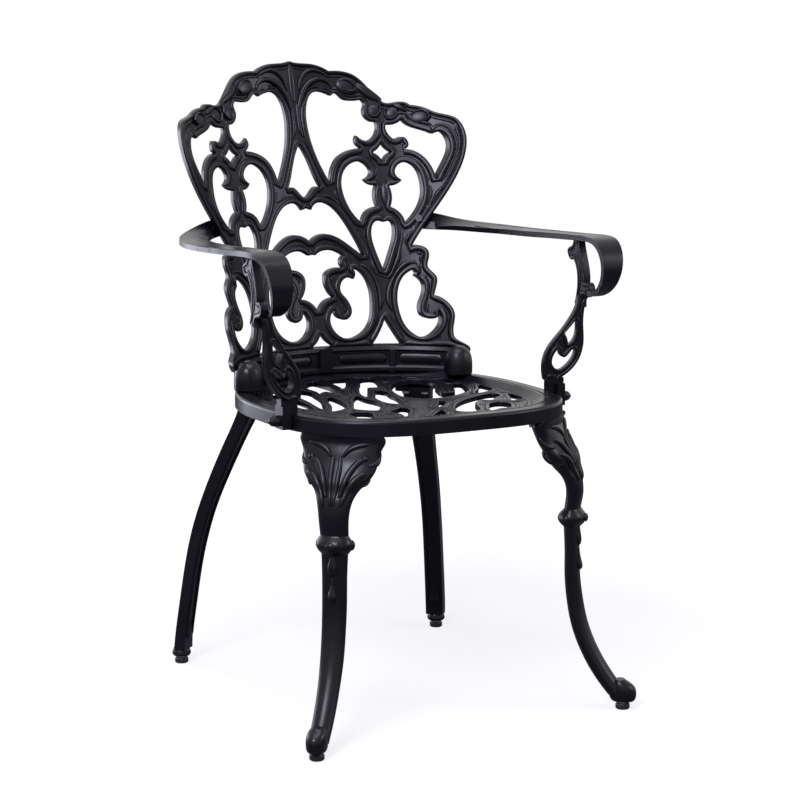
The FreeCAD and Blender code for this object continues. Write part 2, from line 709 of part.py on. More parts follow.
def arm_support():
    """Return the right arm's scrolled support, from the strip down to its foot outside the seat's skirt."""
    lift = size("arm_height") - 646.0
    a = math.radians(SUPPORT_TURN)
    along = Vector(math.cos(a), -math.sin(a), 0)
    through = Vector(math.sin(a), math.cos(a), 0)
    thick = size("support_thick")
    seat_lift = SEAT_TOP - 430.0
    stretch = (size("arm_height") - SEAT_TOP) / 216.0

    def height(z):
        return SEAT_TOP + (z - 430.0) * stretch

    def panel_point(p):
        at = Vector(SUPPORT_AT[0], SUPPORT_AT[1], 0) + along * p[0] - through * (thick / 2.0)
        return Vector(at.x, at.y, height(p[1]))

    def placed(runs):
        return [[panel_point(p) for p in run] for run in runs]

    face = faces(joined(placed(SUPPORT_OUTLINE)), [joined(placed(r)) for r in SUPPORT_OPENINGS])
    panel = face.extrude(through * thick)

    def bar_point(p):
        return Vector(252.0 - thick / 2.0, -95.0 - p[0], height(p[1]))

    under = size("arm_thick") / 2.0 + 0.5
    bar_runs = [[bar_point(p) for p in run] for run in UPPER_BAR]
    bar = Part.Face(joined(bar_runs)).extrude(Vector(thick, 0, 0))
    foot_in = rim_half_width(ARM_BOLT_Y) + size("joint_gap")
    wide = size("arm_foot_width")
    foot = Part.makeBox(
        size("arm_foot_thick"), wide, SEAT_TOP + 12.0 - SKIRT_FOOT - 2.0,
        Vector(foot_in, ARM_BOLT_Y - wide / 2.0, SKIRT_FOOT + 2.0),
    )
    neck = Part.makeBox(
        foot_in + size("arm_foot_thick") - 196.0, 14.0, 20.0,
        Vector(196.0, ARM_BOLT_Y - 7.0, SEAT_TOP + size("joint_gap")),
    )
    post = foot.fuse(neck)
    return panel.multiFuse([bar, post])


def arm(side):
    """Return one whole arm casting."""
    gap = size("joint_gap")
    thick = size("arm_thick")
    body = arm_strip().multiFuse([arm_support(), lug_disc(1, 10.0, gap - 4.0, gap + thick)])
    low, high = SEAT_TOP + 150.0, SEAT_TOP + 280.0
    behind = size("back_wall") + gap
    core = Part.makeCone(back_radius(low) + behind, back_radius(high) + behind, high - low, Vector(0, 0, low))
    body = body.cut(core.common(Part.makeBox(184.0, 400.0, high - low, Vector(0, 100.0, low))))
    body = body.cut(lug_disc(1, size("cap_nut_radius") + 1.0, gap + thick, gap + thick + 20.0))
    body = body.cut(rim_block(-gap, SKIRT_FOOT - 10.0, SEAT_TOP))
    hole = Part.makeCylinder(
        size("screw_hole_radius"), 60, Vector(190, ARM_BOLT_Y, ARM_BOLT_Z), Vector(1, 0, 0)
    )
    body = body.cut(hole).cut(arm_root_hole(1, size("screw_hole_radius"))).removeSplitter()
    return body if side > 0 else mirror_x(body)


# Legs. Each station is height, distance out from the seat's axis, width across and depth outward.

FRONT_LEG = [
    (409.0, 226.0, 113.0, 38.0),
    (392.0, 226.0, 110.0, 38.0),
    (376.0, 232.0, 103.0, 37.0),
    (362.0, 240.0, 97.0, 36.0),
    (350.0, 246.0, 80.0, 36.0),
    (340.0, 250.0, 62.0, 34.0),
    (330.0, 257.0, 51.0, 29.0),
    (316.0, 262.0, 44.0, 24.0),
    (302.0, 263.0, 41.0, 23.0),
    (284.0, 260.5, 39.0, 22.0),
    (262.0, 259.0, 37.0, 21.0),
    (227.0, 260.0, 34.5, 20.0),
    (188.0, 261.0, 34.0, 21.0),
    (152.0, 265.0, 33.0, 22.5),
    (117.0, 272.5, 32.0, 24.0),
    (85.0, 285.0, 30.0, 26.0),
    (58.0, 300.0, 29.0, 28.0),
    (34.0, 317.0, 28.0, 29.0),
    (20.0, 328.0, 27.0, 28.0),
]
# The ring round the front leg, and its long foot, with the same four numbers.
FRONT_RING = [
    (256.0, 259.0, 36.0, 21.0),
    (261.0, 259.0, 44.0, 32.0),
    (268.5, 259.5, 50.0, 39.0),
    (275.5, 260.0, 46.0, 33.0),
    (282.0, 260.5, 38.0, 22.0),
]
FRONT_FOOT = [
    (11.4, 335.0, 23.0, 30.0),
    (15.0, 335.0, 26.5, 36.0),
    (22.0, 335.0, 28.0, 38.0),
    (30.0, 335.0, 27.0, 35.0),
    (36.5, 333.0, 24.0, 26.0),
    (42.0, 331.0, 16.0, 13.0),
]
REAR_LEG = [
    (409.0, 204.0, 45.0, 28.0),
    (395.0, 206.5, 42.0, 27.0),
    (380.0, 213.0, 39.0, 25.0),
    (360.0, 223.0, 36.0, 24.0),
    (340.0, 233.0, 34.0, 24.0),
    (318.0, 243.5, 32.0, 24.0),
    (277.0, 262.0, 30.0, 23.0),
    (217.0, 284.5, 28.5, 22.0),
    (158.0, 299.0, 28.0, 21.0),
    (99.0, 309.0, 28.0, 21.0),
    (41.0, 317.5, 28.0, 22.0),
    (22.0, 319.0, 27.0, 24.0),
]
FOOT_FOOT = size("glide_pad_height") + size("glide_collar_height")
FRONT_FOOT_REACH = 335.0
REAR_FOOT_REACH = 319.0


def leg_height(z):
    """Return a drawn leg height, stretched to reach the real seat."""
    drawn_top = 409.0
    share = (z - FOOT_FOOT) / (drawn_top - FOOT_FOOT)
    return FOOT_FOOT + share * (FLANGE_TOP - FOOT_FOOT)


def oval(z, reach, wide, deep):
    """Return an upright leg's oval section, drawn out along +X."""
    if wide >= deep:
        curve = Part.Ellipse(Vector(reach, wide / 2.0, z), Vector(reach + deep / 2.0, 0, z), Vector(reach, 0, z))
    else:
        curve = Part.Ellipse(Vector(reach + deep / 2.0, 0, z), Vector(reach, wide / 2.0, z), Vector(reach, 0, z))
    return Part.Wire([curve.toShape()])


def ridged(z, reach, wide, deep):
    """Return a rear leg's section: flat inside and at the sides, with a ridge down the outside."""
    x0, x1, x2 = reach - deep / 2.0, reach + deep / 4.0, reach + deep / 2.0
    y = wide / 2.0
    corners = [Vector(x0, -y, z), Vector(x1, -y, z), Vector(x2, 0, z), Vector(x1, y, z), Vector(x0, y, z)]
    return Part.makePolygon(corners + corners[:1])


def flange(inner, half_width, reach):
    """Return a leg's bolting flange under the seat, drawn out along +X."""
    body = Part.makeBox(reach - inner, 2 * half_width, size("flange_thick"), Vector(inner, -half_width, FLANGE_FOOT))
    corners = [
        e for e in body.Edges
        if e.BoundBox.ZLength > 1.0 and e.BoundBox.XMax < inner + 0.1
    ]
    body = body.makeFillet(size("flange_round") + 3.0, corners)
    rims = [
        e for e in body.Edges
        if e.BoundBox.ZMax < FLANGE_FOOT + 0.1 and e.BoundBox.XMax < inner + 0.1
    ]
    return body.makeChamfer(1.0, rims) if rims else body


def glide_bore(reach):
    """Return the cutter for a glide's stud, up into the foot."""
    r = size("glide_stud_radius") + size("running_gap")
    deep = size("glide_stud_length") + 2.0
    return Part.makeCylinder(r, deep, Vector(reach, 0, size("glide_pad_height") - size("glide_seat_depth")))


def front_leg():
    """Return the front leg that stands out along +X: a leafed knee, a ring and a long foot."""
    body = Part.makeLoft([oval(leg_height(z), x, w, d) for z, x, w, d in FRONT_LEG], True, False)
    collar = Part.makeLoft([oval(leg_height(z), x, w, d) for z, x, w, d in FRONT_RING], True, False)
    foot = Part.makeLoft([oval(z, x, w, d) for z, x, w, d in FRONT_FOOT], True, False)
    plate = flange(184.0, 40.0, 226.0)
    return body.multiFuse([collar, foot, plate]).cut(glide_bore(FRONT_FOOT_REACH))


def foot_pad(reach, radius, high):
    """Return the round pad at a leg's foot, domed on top."""
    z = FOOT_FOOT
    edges = [
        Part.LineSegment(Vector(0, 0, z), Vector(radius - 2, 0, z)).toShape(),
        Part.LineSegment(Vector(radius - 2, 0, z), Vector(radius, 0, z + 3)).toShape(),
        Part.Arc(Vector(radius, 0, z + 3), Vector(radius * 0.78, 0, z + high * 0.62), Vector(0, 0, z + high)).toShape(),
        Part.LineSegment(Vector(0, 0, z + high), Vector(0, 0, z)).toShape(),
    ]
    body = Part.Face(Part.Wire(edges)).revolve(Vector(0, 0, 0), Vector(0, 0, 1), 360)
    body.translate(Vector(reach, 0, 0))
    return body


def rear_leg():
    """Return the rear leg that stands out along +X: a plain sabre with a ridge down its outside."""
    body = Part.makeLoft([ridged(leg_height(z), x, w, d) for z, x, w, d in REAR_LEG], True, False)
    foot = foot_pad(REAR_FOOT_REACH, 14.0, 20.0)
    plate = flange(164.0, 27.0, 206.0)
    return body.multiFuse([foot, plate]).cut(glide_bore(REAR_FOOT_REACH))


def placed_leg(shape, degrees):
    """Return a leg turned to its place, with its flange drilled and nothing left above the skirt's foot."""
    body = about_axis(shape, degrees)
    if degrees > 0:
        body.translate(Vector(0, size("rear_leg_centre"), 0))
    for x, y in leg_bolt_places():
        body = body.cut(upright(size("screw_hole_radius"), FLANGE_FOOT - 30.0, FLANGE_TOP + 2.0, x, y))
        clear = upright(size("washer_radius") + 1.0, FLANGE_FOOT - 30.0, FLANGE_FOOT, x, y)
        body = body.cut(clear)
    return body.removeSplitter()


LEG_TURNS = {
    "leg_front_right": -90.0 + size("front_leg_turn"),
    "leg_front_left": -90.0 - size("front_leg_turn"),
    "leg_rear_right": 90.0 - size("rear_leg_turn"),
    "leg_rear_left": 90.0 + size("rear_leg_turn"),
}


def glide_places():
    """Return each glide's name ending and plan place."""
    out = {}
    for name, turn in LEG_TURNS.items():
        reach = FRONT_FOOT_REACH if "front" in name else REAR_FOOT_REACH
        a = math.radians(turn)
        middle = 0.0 if "front" in name else size("rear_leg_centre")
        out[name.replace("leg_", "")] = (reach * math.cos(a), middle + reach * math.sin(a))
    return out


# Fixings and glides, each modelled once as a body and set in its places.


def xy_sketch(body, name, height=0.0):
    """Return a new sketch on the body's own XY plane, at a height."""
    plane = next(f for f in body.Origin.OriginFeatures if f.Role == "XY_Plane")
    sketch = body.newObject("Sketcher::SketchObject", name)
    sketch.AttachmentSupport = [(plane, "")]
    sketch.MapMode = "FlatFace"
    sketch.AttachmentOffset = FreeCAD.Placement(Vector(0, 0, height), FreeCAD.Rotation())
    return sketch


def bound_circle(sketch, word):
    """Draw a circle at the sketch's origin, with a radius bound to the sheet."""
    import Sketcher

    i = sketch.addGeometry(Part.Circle(Vector(0, 0, 0), Vector(0, 0, 1), size(word)), False)
    sketch.addConstraint(Sketcher.Constraint("Coincident", i, 3, -1, 1))
    c = sketch.addConstraint(Sketcher.Constraint("Radius", i, size(word)))
    sketch.setExpression(f"Constraints[{c}]", f"sizes.{word}")
    return i


def pad(body, sketch, name, expression, reverse=False):
    """Pad a sketch by a length bound to the sheet."""
    obj = body.newObject("PartDesign::Pad", name)
    obj.Profile = sketch
    obj.setExpression("Length", expression)
    obj.Reversed = reverse
    sketch.Visibility = False
    return obj


def hex_screw(name, length):
    """Return a body: a hexagon screw with its head below z = 0 and its shank above."""
    import Sketcher

    body = doc.addObject("PartDesign::Body", name)
    head = xy_sketch(body, name + "_head_sketch")
    corner = size("hex_flats") / math.sqrt(3.0)
    points = [
        Vector(corner * math.cos(math.radians(60 * k)), corner * math.sin(math.radians(60 * k)), 0)
        for k in range(6)
    ]
    for k in range(6):
        head.addGeometry(Part.LineSegment(points[k], points[(k + 1) % 6]), False)
    for k in range(6):
        head.addConstraint(Sketcher.Constraint("Coincident", k, 2, (k + 1) % 6, 1))
    round_line = head.addGeometry(Part.Circle(Vector(0, 0, 0), Vector(0, 0, 1), corner), True)
    head.addConstraint(Sketcher.Constraint("Coincident", round_line, 3, -1, 1))
    for k in range(6):
        head.addConstraint(Sketcher.Constraint("PointOnObject", k, 1, round_line))
    for k in range(5):
        head.addConstraint(Sketcher.Constraint("Equal", k, k + 1))
    head.addConstraint(Sketcher.Constraint("PointOnObject", 0, 1, -1))
    c = head.addConstraint(Sketcher.Constraint("Radius", round_line, corner))
    head.setExpression(f"Constraints[{c}]", "sizes.hex_flats / sqrt(3)")
    pad(body, head, name + "_head", "sizes.hex_height", True)
    shank = xy_sketch(body, name + "_shank_sketch")
    bound_circle(shank, "screw_radius")
    pad(body, shank, name + "_shank", length)
    doc.recompute()
    body.Tip = body.Group[-1]
    return body


def washer():
    """Return a body: a plain washer with its lower face at z = 0."""
    body = doc.addObject("PartDesign::Body", "washer")
    flat = xy_sketch(body, "washer_sketch")
    bound_circle(flat, "washer_radius")
    bound_circle(flat, "screw_hole_radius")
    pad(body, flat, "washer_pad", "sizes.washer_thick")
    doc.recompute()
    return body


def turned(name, outline):
    """Return a body: one closed outline of (radius, height) pairs turned about the Z axis."""
    body = doc.addObject("PartDesign::Body", name)
    plane = next(f for f in body.Origin.OriginFeatures if f.Role == "XZ_Plane")
    sketch = body.newObject("Sketcher::SketchObject", name + "_outline")
    sketch.AttachmentSupport = [(plane, "")]
    sketch.MapMode = "FlatFace"
    n = len(outline)
    for k in range(n):
        a, b = outline[k], outline[(k + 1) % n]
        sketch.addGeometry(Part.LineSegment(Vector(a[0], a[1], 0), Vector(b[0], b[1], 0)), False)
    import Sketcher

    for k in range(n):
        sketch.addConstraint(Sketcher.Constraint("Coincident", k, 2, (k + 1) % n, 1))
    for k in range(n):
        for where, value, kind in ((outline[k][0], outline[k][0], "DistanceX"), (outline[k][1], outline[k][1], "DistanceY")):
            if abs(value) > 1e-6:
                sketch.addConstraint(Sketcher.Constraint(kind, -1, 1, k, 1, value))
            elif kind == "DistanceX":
                sketch.addConstraint(Sketcher.Constraint("PointOnObject", k, 1, -2))
            else:
                sketch.addConstraint(Sketcher.Constraint("PointOnObject", k, 1, -1))
    rev = body.newObject("PartDesign::Revolution", name + "_turned")
    rev.Profile = sketch
    rev.ReferenceAxis = (sketch, ["V_Axis"])
    rev.Angle = 360.0
    sketch.Visibility = False
    doc.recompute()
    return body


def group(name, master, placements):
    """Hold copies of one body's solid, set in their places, as one sub-part."""
    solids = []
    for place in placements:
        solid = master.Shape.copy()
        solid.Placement = place.multiply(master.Shape.Placement)
        solids.append(solid)
    return feature(name, Part.makeCompound(solids))


def up_at(x, y, z):
    """Return the placement that keeps a piece upright at a point."""
    return FreeCAD.Placement(Vector(x, y, z), FreeCAD.Rotation())


def along(point, way):
    """Return the placement that turns a piece's Z axis to a way, at a point."""
    return FreeCAD.Placement(point, FreeCAD.Rotation(Vector(0, 0, 1), way))


feature("seat_casting", seat_casting())
feature("back_casting", back_casting())
feature("arm_right", arm(1))
feature("arm_left", arm(-1))

front = front_leg()
rear = rear_leg()
for leg_name, leg_turn in LEG_TURNS.items():
    feature(leg_name, placed_leg(front if "front" in leg_name else rear, leg_turn))

screw_length = "sizes.washer_thick + sizes.flange_thick + sizes.joint_gap + sizes.skirt_height / 3"
leg_screw = hex_screw("leg_screw", screw_length)
plain_washer = washer()
head_level = FLANGE_FOOT - size("joint_gap") / 2.0 - size("washer_thick")
group("leg_bolts", leg_screw, [up_at(x, y, head_level) for x, y in leg_bolt_places()])
group(
    "leg_washers", plain_washer,
    [up_at(x, y, head_level + size("joint_gap") / 4.0) for x, y in leg_bolt_places()],
)

rail_screw = hex_screw("rail_screw", "sizes.washer_thick + sizes.panel_thick + sizes.dish_drop + 15")
rail_head = PANEL_FOOT - size("washer_thick") - 0.2
group("back_bolts", rail_screw, [up_at(x, y, rail_head) for x, y in back_bolt_places()])
group("back_washers", plain_washer, [up_at(x, y, rail_head + 0.05) for x, y in back_bolt_places()])

skirt_inside = rim_half_width(ARM_BOLT_Y) - size("skirt_wall")
arm_screw = hex_screw("arm_screw", "sizes.skirt_wall + sizes.arm_foot_thick + sizes.joint_gap + 8")
group(
    "arm_seat_bolts", arm_screw,
    [along(Vector(s * (skirt_inside - 0.6), ARM_BOLT_Y, ARM_BOLT_Z), Vector(s, 0, 0)) for s in (-1, 1)],
)
r_nut = size("cap_nut_radius")
l_nut = size("cap_nut_length")
bore = size("tapped_radius")
cap_nut = turned(
    "cap_nut",
    [
        (bore, 0.0), (r_nut, 0.0), (r_nut, l_nut * 0.42), (r_nut * 0.86, l_nut * 0.72),
        (r_nut * 0.5, l_nut * 0.94), (0.0, l_nut), (0.0, l_nut * 0.7), (bore, l_nut * 0.7),
    ],
)
foot_out = rim_half_width(ARM_BOLT_Y) + size("joint_gap") + size("arm_foot_thick") + 0.1
group(
    "arm_seat_cap_nuts", cap_nut,
    [along(Vector(s * (foot_out + 0.2), ARM_BOLT_Y, ARM_BOLT_Z), Vector(s, 0, 0)) for s in (-1, 1)],
)

root_screw = hex_screw("root_screw", "sizes.back_wall + sizes.arm_thick + sizes.joint_gap + 9")
root_places = []
root_nut_places = []
for s in (-1, 1):
    at, out = arm_root_frame(s)
    root_places.append(along(at - out * (size("back_wall") + 0.6), out))
    root_nut_places.append(along(at + out * (size("arm_thick") + size("joint_gap") + 0.6), out))
group("arm_back_bolts", root_screw, root_places)
group("arm_back_cap_nuts", cap_nut, root_nut_places)

g = size
stud = turned(
    "stud",
    [
        (0.0, g("glide_pad_height") - g("glide_seat_depth") + 0.4),
        (g("glide_stud_radius"), g("glide_pad_height") - g("glide_seat_depth") + 0.4),
        (g("glide_stud_radius"), g("glide_pad_height") + 0.1),
        (g("glide_collar_radius"), g("glide_pad_height") + 0.1),
        (g("glide_collar_radius"), FOOT_FOOT - 0.1),
        (g("glide_stud_radius"), FOOT_FOOT - 0.1),
        (g("glide_stud_radius"), g("glide_pad_height") + g("glide_stud_length") - 9.0),
        (g("glide_stud_radius") - 1.0, g("glide_pad_height") + g("glide_stud_length") - 8.0),
        (0.0, g("glide_pad_height") + g("glide_stud_length") - 8.0),
    ],
)
seat_r = g("glide_stud_radius") + g("running_gap")
pad_body = turned(
    "pad",
    [
        (0.0, 0.0),
        (g("glide_pad_radius") - 1.5, 0.0),
        (g("glide_pad_radius"), 1.5),
        (g("glide_pad_radius"), g("glide_pad_height") - 2.5),
        (g("glide_pad_radius") - 2.0, g("glide_pad_height")),
        (seat_r, g("glide_pad_height")),
        (seat_r, g("glide_pad_height") - g("glide_seat_depth")),
        (0.0, g("glide_pad_height") - g("glide_seat_depth")),
    ],
)
for place_name, (px, py) in glide_places().items():
    group("glide_stud_" + place_name, stud, [up_at(px, py, 0)])
    group("glide_pad_" + place_name, pad_body, [up_at(px, py, 0)])

doc.recompute()
for obj in doc.Objects:
    if any(word in obj.State for word in ("Invalid", "Error")):
        raise RuntimeError("object in error: " + obj.Label)
for obj in NODES:
    if obj.Shape.isNull() or not obj.Shape.isValid():
        raise RuntimeError("bad shape: " + obj.Label)
for obj in NODES:
    obj.Shape.exportStep("parts/" + obj.Label + ".step")
    box = obj.Shape.BoundBox
    print(obj.Label, len(obj.Shape.Solids), round(box.XMin), round(box.XMax), round(box.YMin), round(box.YMax),
          round(box.ZMin), round(box.ZMax), round(obj.Shape.Volume / 1000.0, 1))
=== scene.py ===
"""Garden armchair in black ornate castings: studio, camera, finishes and relief over the CAD model.

Metres, in the CAD's frame: Z up, the sitter faces -Y. The CAD nodes keep their shapes and get their finishes
here. The relief that a foundry would cut into the pattern, such as the beads along every scroll, the fan of
the crest and the leaf on each front leg's knee, is raised over them as thin skins that ride on the same
body.
"""

import json
import logging
import math
from dataclasses import dataclass, replace
from enum import Enum
from typing import Callable, ClassVar, Dict, List, Optional, Sequence, Tuple, Union

import bpy
import numpy as np
from mathutils import Matrix, Vector
from mathutils.bvhtree import BVHTree

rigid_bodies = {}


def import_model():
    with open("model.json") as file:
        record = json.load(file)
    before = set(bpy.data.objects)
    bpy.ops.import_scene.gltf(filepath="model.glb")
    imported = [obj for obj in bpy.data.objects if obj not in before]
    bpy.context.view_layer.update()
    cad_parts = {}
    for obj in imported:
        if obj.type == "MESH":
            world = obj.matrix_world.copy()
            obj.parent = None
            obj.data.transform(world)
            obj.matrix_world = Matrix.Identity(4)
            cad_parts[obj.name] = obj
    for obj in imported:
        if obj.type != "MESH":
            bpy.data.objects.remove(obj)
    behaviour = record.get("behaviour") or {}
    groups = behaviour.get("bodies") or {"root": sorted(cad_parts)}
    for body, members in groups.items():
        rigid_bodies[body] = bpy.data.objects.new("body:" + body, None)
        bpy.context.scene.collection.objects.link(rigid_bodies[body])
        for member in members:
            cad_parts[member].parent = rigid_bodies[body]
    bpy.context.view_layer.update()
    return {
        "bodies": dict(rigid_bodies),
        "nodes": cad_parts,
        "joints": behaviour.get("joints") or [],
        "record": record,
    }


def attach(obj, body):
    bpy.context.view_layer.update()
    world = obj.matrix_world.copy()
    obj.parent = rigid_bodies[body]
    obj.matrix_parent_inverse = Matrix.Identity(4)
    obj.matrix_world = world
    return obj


LOG = logging.getLogger("armchair")

BODY = "chair"
MM = 0.001
UP = Vector((0.0, 0.0, 1.0))

# Added to a length before it divides.
TINY = 1e-12
# Places between two points of a smooth line, and the fewest places on a closed and on an open line.
SPAN_STEPS = 12
RING_PLACES = 10
LINE_PLACES = 5
# How finely a dome is made.
BALL_SEGMENTS = 28
BALL_RINGS = 14

Point2 = Tuple[float, float]
Point3 = Tuple[float, float, float]


@dataclass(frozen=True)
class Layout:
    """Places that the relief shares with the castings, in metres.

    Attributes:
        axis_y: Where the seat's upright axis stands in the frame.
        seat_top: Height of the seat's rim.
        back_radius: Radius of the back's front face at the seat's height.
        back_lean: How much that radius grows for each metre of height.
        panel_top: Height of the seat's scrolled panel.
        rail_recess: Depth of the recessed panels in the back's rail.
        rail_middle: Height of their middle.
    """

    axis_y: float = -0.045
    seat_top: float = 0.430
    back_radius: float = 0.217
    back_lean: float = 0.256
    panel_top: float = 0.422
    rail_recess: float = 0.0025
    rail_middle: float = 0.4487


@dataclass(frozen=True)
class Eye:
    """The camera, as the photograph's.

    Attributes:
        place: Where it stands.
        azimuth: Its bearing round the chair, in degrees; 0 looks along +Y.
        elevation: How far above the horizon it stands, in degrees.
        lens: Focal length in millimetres.
        sensor: Width of its sensor in millimetres.
        near: Nearest distance that it sees.
        far: Farthest distance that it sees.
    """

    place: Point3 = (-1.4117, -2.7180, 0.9110)
    azimuth: float = -28.025
    elevation: float = 9.227
    lens: float = 97.76
    sensor: float = 36.0
    near: float = 0.05
    far: float = 50.0


@dataclass(frozen=True)
class Lamp:
    """One square soft box, turned towards the chair.

    Attributes:
        name: Its name.
        place: Where it hangs.
        size: Length of its side.
        power: Its power in watts.
    """

    name: str
    place: Point3
    size: float
    power: float


@dataclass(frozen=True)
class Lighting:
    """What lights the chair, and the white that surrounds it.

    Attributes:
        lamps: The soft boxes: from the front left, the front right, above, the rear left and low behind.
        lamp_colour: Their sRGB hex colour, a cool white.
        aim: The place they look at.
        sky: The sRGB hex colour of the soft light from all round.
        sky_strength: Its strength.
        white: The sRGB hex colour of the background that is seen and mirrored.
        floor_side: Length of the floor's side.
        floor: The sRGB hex colour with which the floor takes light and shadow.
        glow: What the floor adds for the camera under the chair and far from it.
        fade: Distances from the middle between which it changes from the one to the other.
    """

    lamps: Tuple[Lamp, ...] = (
        Lamp("key", (-1.9, -1.6, 2.3), 1.2, 92.0),
        Lamp("fill", (2.3, -1.7, 1.7), 1.2, 29.0),
        Lamp("top", (-0.3, -0.3, 2.7), 1.6, 49.0),
        Lamp("rim", (-1.7, 1.9, 2.0), 1.0, 10.0),
        Lamp("rear", (-1.2, 2.3, 0.6), 1.2, 25.0),
    )
    lamp_colour: str = "#eceeff"
    aim: Point3 = (0.0, 0.0, 0.5)
    sky: str = "#f4f5f8"
    sky_strength: float = 0.045
    white: str = "#ffffff"
    floor_side: float = 14.0
    floor: str = "#848486"
    glow: Point2 = (0.78, 1.0)
    fade: Point2 = (0.6, 1.5)


class Metal(Enum):
    """The finishes on the chair, by the record's material slots."""

    CASTING = "casting"
    CAP_NUT = "black_cap_nut"
    ZINC = "zinc_fixing"
    NYLON = "glide_plastic"


@dataclass(frozen=True)
class Finish:
    """How one finish looks.

    Attributes:
        colour: Its sRGB hex colour.
        second: The sRGB hex colour that it drifts towards in patches.
        metallic: 1 for bare metal, 0 for paint and plastic.
        gloss: Level of its mirror-like reflection, 0.5 for a typical clear surface.
        roughness: The middle of its roughness.
        spread: How far the roughness strays either way.
        grain_mm: Size of the surface's fine grain, drawn coarser than the real one so that it shows.
        bump_mm: Height of that grain.
    """

    colour: str
    second: str
    metallic: float
    gloss: float
    roughness: float
    spread: float
    grain_mm: float
    bump_mm: float


@dataclass(frozen=True)
class Skin:
    """The patterns that all finishes share.

    Attributes:
        patch_mm: Size of a patch of colour and sheen, eighteen to a metre.
        patch_detail: How finely their edges break up.
        grain_detail: How finely the grain breaks up.
        smoothest: Value of the patches' noise where the surface is smoothest.
        roughest: Value of it where the surface is roughest.
        relief: Share of the grain's height that shows.
    """

    patch_mm: float = 1000.0 / 18.0
    patch_detail: Point2 = (3.0, 0.55)
    grain_detail: Point2 = (2.0, 0.5)
    smoothest: float = 0.3
    roughest: float = 0.7
    relief: float = 0.35


FINISHES: Dict[Metal, Finish] = {
    # Cast metal under a baked satin black powder coat: almost black with a blue cast, an uneven half gloss
    # and a fine sandy skin.
    Metal.CASTING: Finish(
        colour="#060609", second="#0d0d15", metallic=0.0, gloss=0.21, roughness=0.30, spread=0.06,
        grain_mm=1.4, bump_mm=0.05,
    ),
    # Turned steel under satin black paint: a little paler and smoother than the castings.
    Metal.CAP_NUT: Finish(
        colour="#0d0d11", second="#141419", metallic=0.0, gloss=0.2, roughness=0.3, spread=0.05,
        grain_mm=1.0, bump_mm=0.03,
    ),
    # Steel with a bright zinc plate: bare pale grey metal with a half-dull shine.
    Metal.ZINC: Finish(
        colour="#b9b8b2", second="#9a9892", metallic=1.0, gloss=0.5, roughness=0.32, spread=0.08,
        grain_mm=0.8, bump_mm=0.02,
    ),
    # Moulded matt black nylon: dull, with a faint even grain.
    Metal.NYLON: Finish(
        colour="#121213", second="#1a1a1b", metallic=0.0, gloss=0.4, roughness=0.55, spread=0.06,
        grain_mm=0.9, bump_mm=0.04,
    ),
}


def linear(hex_colour: str) -> Tuple[float, float, float, float]:
    """Turn an sRGB hex colour into the linear colour that Blender's sockets take.

    Args:
        hex_colour: A colour such as "#0c0c10".

    Returns:
        Red, green, blue and an alpha of 1.
    """
    channels = []
    for i in (1, 3, 5):
        c = int(hex_colour[i : i + 2], 16) / 255.0
        channels.append(c / 12.92 if c <= 0.04045 else ((c + 0.055) / 1.055) ** 2.4)
    return (channels[0], channels[1], channels[2], 1.0)


def add_node(
    tree: bpy.types.NodeTree, kind: str, inputs: Dict[Union[str, int], object], **settings: object
) -> bpy.types.Node:
    """Add a node with its settings, its values and the links into it.

    Args:
        tree: The node tree.
        kind: The node's type name.
        inputs: For each input, by name or number, its value, the output that feeds it, or the node whose
            first output does.
        **settings: The node's own settings, such as a math node's operation.

    Returns:
        The node.
    """
    node = tree.nodes.new(kind)
    for name, value in settings.items():
        setattr(node, name, value)
    for key, value in inputs.items():
        if isinstance(value, bpy.types.Node):
            value = value.outputs[0]
        if isinstance(value, bpy.types.NodeSocket):
            tree.links.new(value, node.inputs[key])
        else:
            node.inputs[key].default_value = value
    return node


def empty_tree(owner: Union[bpy.types.Material, bpy.types.World]) -> bpy.types.NodeTree:
    """Give a material or the world a node tree with nothing in it, and return the tree."""
    owner.use_nodes = True
    owner.node_tree.nodes.clear()
    return owner.node_tree


